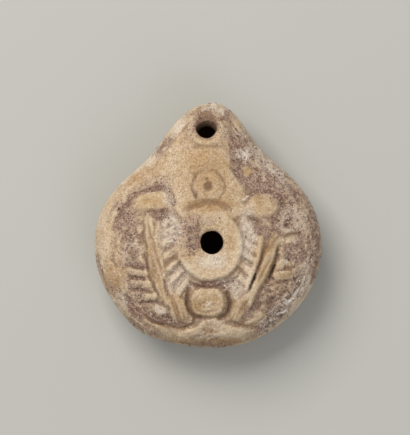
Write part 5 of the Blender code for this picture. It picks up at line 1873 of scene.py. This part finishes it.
@dataclass(frozen=True)
class CrumbScatter:
    """Crumbs of one deposit that cling to the lamp's top, thickest where the deposit lies."""

    name: str
    deposit: Deposit
    finish: CrumbFinish
    seed: int
    per_square_mm: float
    size_mm: Point
    squash: float = 0.6

    def build(self, body: bpy.types.Object) -> bpy.types.Object:
        """Scatter the crumbs over a copy of the lamp's mesh, and keep only them as a plain mesh.

        Args:
            body: The finished lamp.

        Returns:
            The finished piece.
        """
        piece = bpy.data.objects.new(self.name, body.data.copy())
        bpy.context.collection.objects.link(piece)
        tree = self.scatter_tree()
        scatter = piece.modifiers.new("crumbs", "NODES")
        scatter.node_group = tree
        inputs = {"Crumbs per square metre": self.per_square_mm / MM ** 2, "Smallest": self.size_mm[0] * MM,
                  "Largest": self.size_mm[1] * MM, "Squash": self.squash, "Seed": self.seed}
        for item in tree.interface.items_tree:
            if item.name in inputs:
                scatter[item.identifier] = inputs[item.name]
        graph = bpy.context.evaluated_depsgraph_get()
        mesh = bpy.data.meshes.new_from_object(piece.evaluated_get(graph))
        piece.modifiers.clear()
        piece.data = mesh
        mesh.name = self.name
        return piece

    def scatter_tree(self) -> bpy.types.NodeTree:
        """Build the Geometry Nodes that place the crumbs.

        Returns:
            The node tree.
        """
        tree = bpy.data.node_groups.new(self.name + "_scatter", "GeometryNodeTree")
        tree.interface.new_socket("Geometry", in_out="INPUT", socket_type="NodeSocketGeometry")
        for name in ("Crumbs per square metre", "Smallest", "Largest", "Squash"):
            tree.interface.new_socket(name, in_out="INPUT", socket_type="NodeSocketFloat")
        tree.interface.new_socket("Seed", in_out="INPUT", socket_type="NodeSocketInt")
        tree.interface.new_socket("Geometry", in_out="OUTPUT", socket_type="NodeSocketGeometry")
        given = add_node(tree, "NodeGroupInput").outputs
        strength = add_node(tree, "GeometryNodeInputNamedAttribute", {"data_type": "FLOAT"},
                            {"Name": self.deposit.value}).outputs["Attribute"]
        thick = add_node(tree, "ShaderNodeMath", {"operation": "POWER"}, {1: 1.6}, {0: strength})
        density = add_node(tree, "ShaderNodeMath", {"operation": "MULTIPLY"},
                           links={0: thick.outputs[0], 1: given["Crumbs per square metre"]})
        spread = add_node(tree, "GeometryNodeDistributePointsOnFaces", {"distribute_method": "RANDOM"},
                          links={"Mesh": given["Geometry"], "Density": density.outputs[0],
                                 "Seed": given["Seed"]})
        crumb = add_node(tree, "GeometryNodeMeshIcoSphere", values={"Radius": 0.5, "Subdivisions": 1})
        size = add_node(tree, "FunctionNodeRandomValue", {"data_type": "FLOAT"},
                        links={"Min": given["Smallest"], "Max": given["Largest"], "Seed": given["Seed"]})
        flat = add_node(tree, "ShaderNodeMath", {"operation": "MULTIPLY"},
                        links={0: size.outputs[1], 1: given["Squash"]})
        scale = add_node(tree, "ShaderNodeCombineXYZ",
                         links={"X": size.outputs[1], "Y": size.outputs[1], "Z": flat.outputs[0]})
        placed = add_node(tree, "GeometryNodeInstanceOnPoints",
                          links={"Points": spread.outputs["Points"], "Instance": crumb.outputs["Mesh"],
                                 "Rotation": spread.outputs["Rotation"], "Scale": scale.outputs["Vector"]})
        real = add_node(tree, "GeometryNodeRealizeInstances", links={"Geometry": placed.outputs["Instances"]})
        dressed = add_node(tree, "GeometryNodeSetMaterial", values={"Material": self.finish.make()},
                           links={"Geometry": real.outputs["Geometry"]})
        add_node(tree, "NodeGroupOutput", links={"Geometry": dressed.outputs["Geometry"]})
        return tree


@dataclass(frozen=True)
class SoftLight:
    """One square soft light: its middle and side in millimetres, its power in watts and its colour."""

    name: str
    place: tuple[float, float, float]
    size: float
    power: float
    colour: str

    def hang(self, target: Vector) -> None:
        """Hang the light so that it faces a place, given in metres."""
        lamp = bpy.data.lights.new(self.name, "AREA")
        lamp.shape = "SQUARE"
        lamp.size = self.size * MM
        lamp.energy = self.power
        lamp.color = linear_colour(self.colour)[:3]
        holder = bpy.data.objects.new(self.name, lamp)
        holder.location = Vector(self.place) * MM
        holder.rotation_euler = (target - holder.location).to_track_quat("-Z", "Y").to_euler()
        bpy.context.collection.objects.link(holder)


@dataclass(frozen=True)
class Studio:
    """A pale floor, soft lights and a camera that looks straight down on the lamp."""

    frame_centre: Point = (-0.79, 9.75)
    frame_width: float = 140.3
    focus_height: float = 15.0
    camera_distance: float = 1500.0
    sensor_width: float = 36.0
    floor_size: float = 3000.0
    floor_colour: str = "B9B9B4"
    world_colour: str = "FFFFFF"
    world_strength: float = 0.44
    lights: tuple[SoftLight, ...] = (
        SoftLight("key_light", (-450.0, 700.0, 1000.0), 800.0, 14.5, "FFFBF5"),
        SoftLight("fill_light", (500.0, -900.0, 900.0), 900.0, 3.0, "F6F8FF"),
    )

    def build(self) -> None:
        """Make the camera, the floor, the lights and the world."""
        self.camera()
        self.floor()
        for light in self.lights:
            light.hang(Vector((*self.frame_centre, self.focus_height)) * MM)
        world = bpy.data.worlds.new("soft_room")
        world.use_nodes = True
        background = world.node_tree.nodes["Background"]
        background.inputs["Color"].default_value = linear_colour(self.world_colour)
        background.inputs["Strength"].default_value = self.world_strength
        bpy.context.scene.world = world
        bpy.context.scene.view_settings.view_transform = "Standard"

    def camera(self) -> None:
        """Place the camera over the lamp, with the nozzle at the top of the picture."""
        lens = bpy.data.cameras.new("camera")
        lens.sensor_fit = "HORIZONTAL"
        lens.sensor_width = self.sensor_width
        lens.lens = self.sensor_width * self.camera_distance / self.frame_width
        lens.clip_start = 0.05
        lens.clip_end = 10.0
        camera = bpy.data.objects.new("camera", lens)
        place = (*self.frame_centre, self.focus_height + self.camera_distance)
        camera.location = Vector(place) * MM
        bpy.context.collection.objects.link(camera)
        bpy.context.scene.camera = camera

    def floor(self) -> None:
        """Lay the pale floor that the lamp stands on."""
        half = 0.5 * self.floor_size * MM
        mesh = bpy.data.meshes.new("floor")
        mesh.from_pydata([(-half, -half, 0.0), (half, -half, 0.0), (half, half, 0.0), (-half, half, 0.0)],
                         [], [(0, 1, 2, 3)])
        floor = bpy.data.objects.new("floor", mesh)
        bpy.context.collection.objects.link(floor)
        paper = bpy.data.materials.new("matt_paper")
        paper.use_nodes = True
        shader = paper.node_tree.nodes["Principled BSDF"]
        shader.inputs["Base Color"].default_value = linear_colour(self.floor_colour)
        shader.inputs["Roughness"].default_value = 0.95
        shader.inputs["Specular IOR Level"].default_value = 0.1
        mesh.materials.append(paper)


def report(piece: bpy.types.Object) -> None:
    """Log a piece's name and its number of faces."""
    LOG.info("%s: %d faces, %d triangles", piece.name, len(piece.data.polygons),
             sum(len(face.vertices) - 2 for face in piece.data.polygons))


def main() -> None:
    """Build the lamp, its crumbs and the studio, in order."""
    logging.basicConfig(level=logging.INFO, format="%(name)s: %(message)s")
    form = LampForm()
    relief = ShoulderRelief(form)
    stains = BurialStainsAndShade(relief)
    Studio().build()
    body = LampBody(form, WornSkin(relief, stains), FiredClay()).build()
    lime = CrumbScatter("lime_crumbs", Deposit.LIME, CrumbFinish("chalky_lime", "E9E0D4", "CFC0AC"),
                        seed=5, per_square_mm=0.9, size_mm=(0.2, 0.55)).build(body)
    earth = CrumbScatter("earth_crumbs", Deposit.EARTH, CrumbFinish("dry_nile_earth", "8A6C5C", "5F4739"),
                         seed=9, per_square_mm=1.1, size_mm=(0.2, 0.6)).build(body)
    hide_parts("lamp_body")
    for piece in (body, lime, earth):
        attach(piece, "root")
        report(piece)


if __name__ == "__main__":
    main()
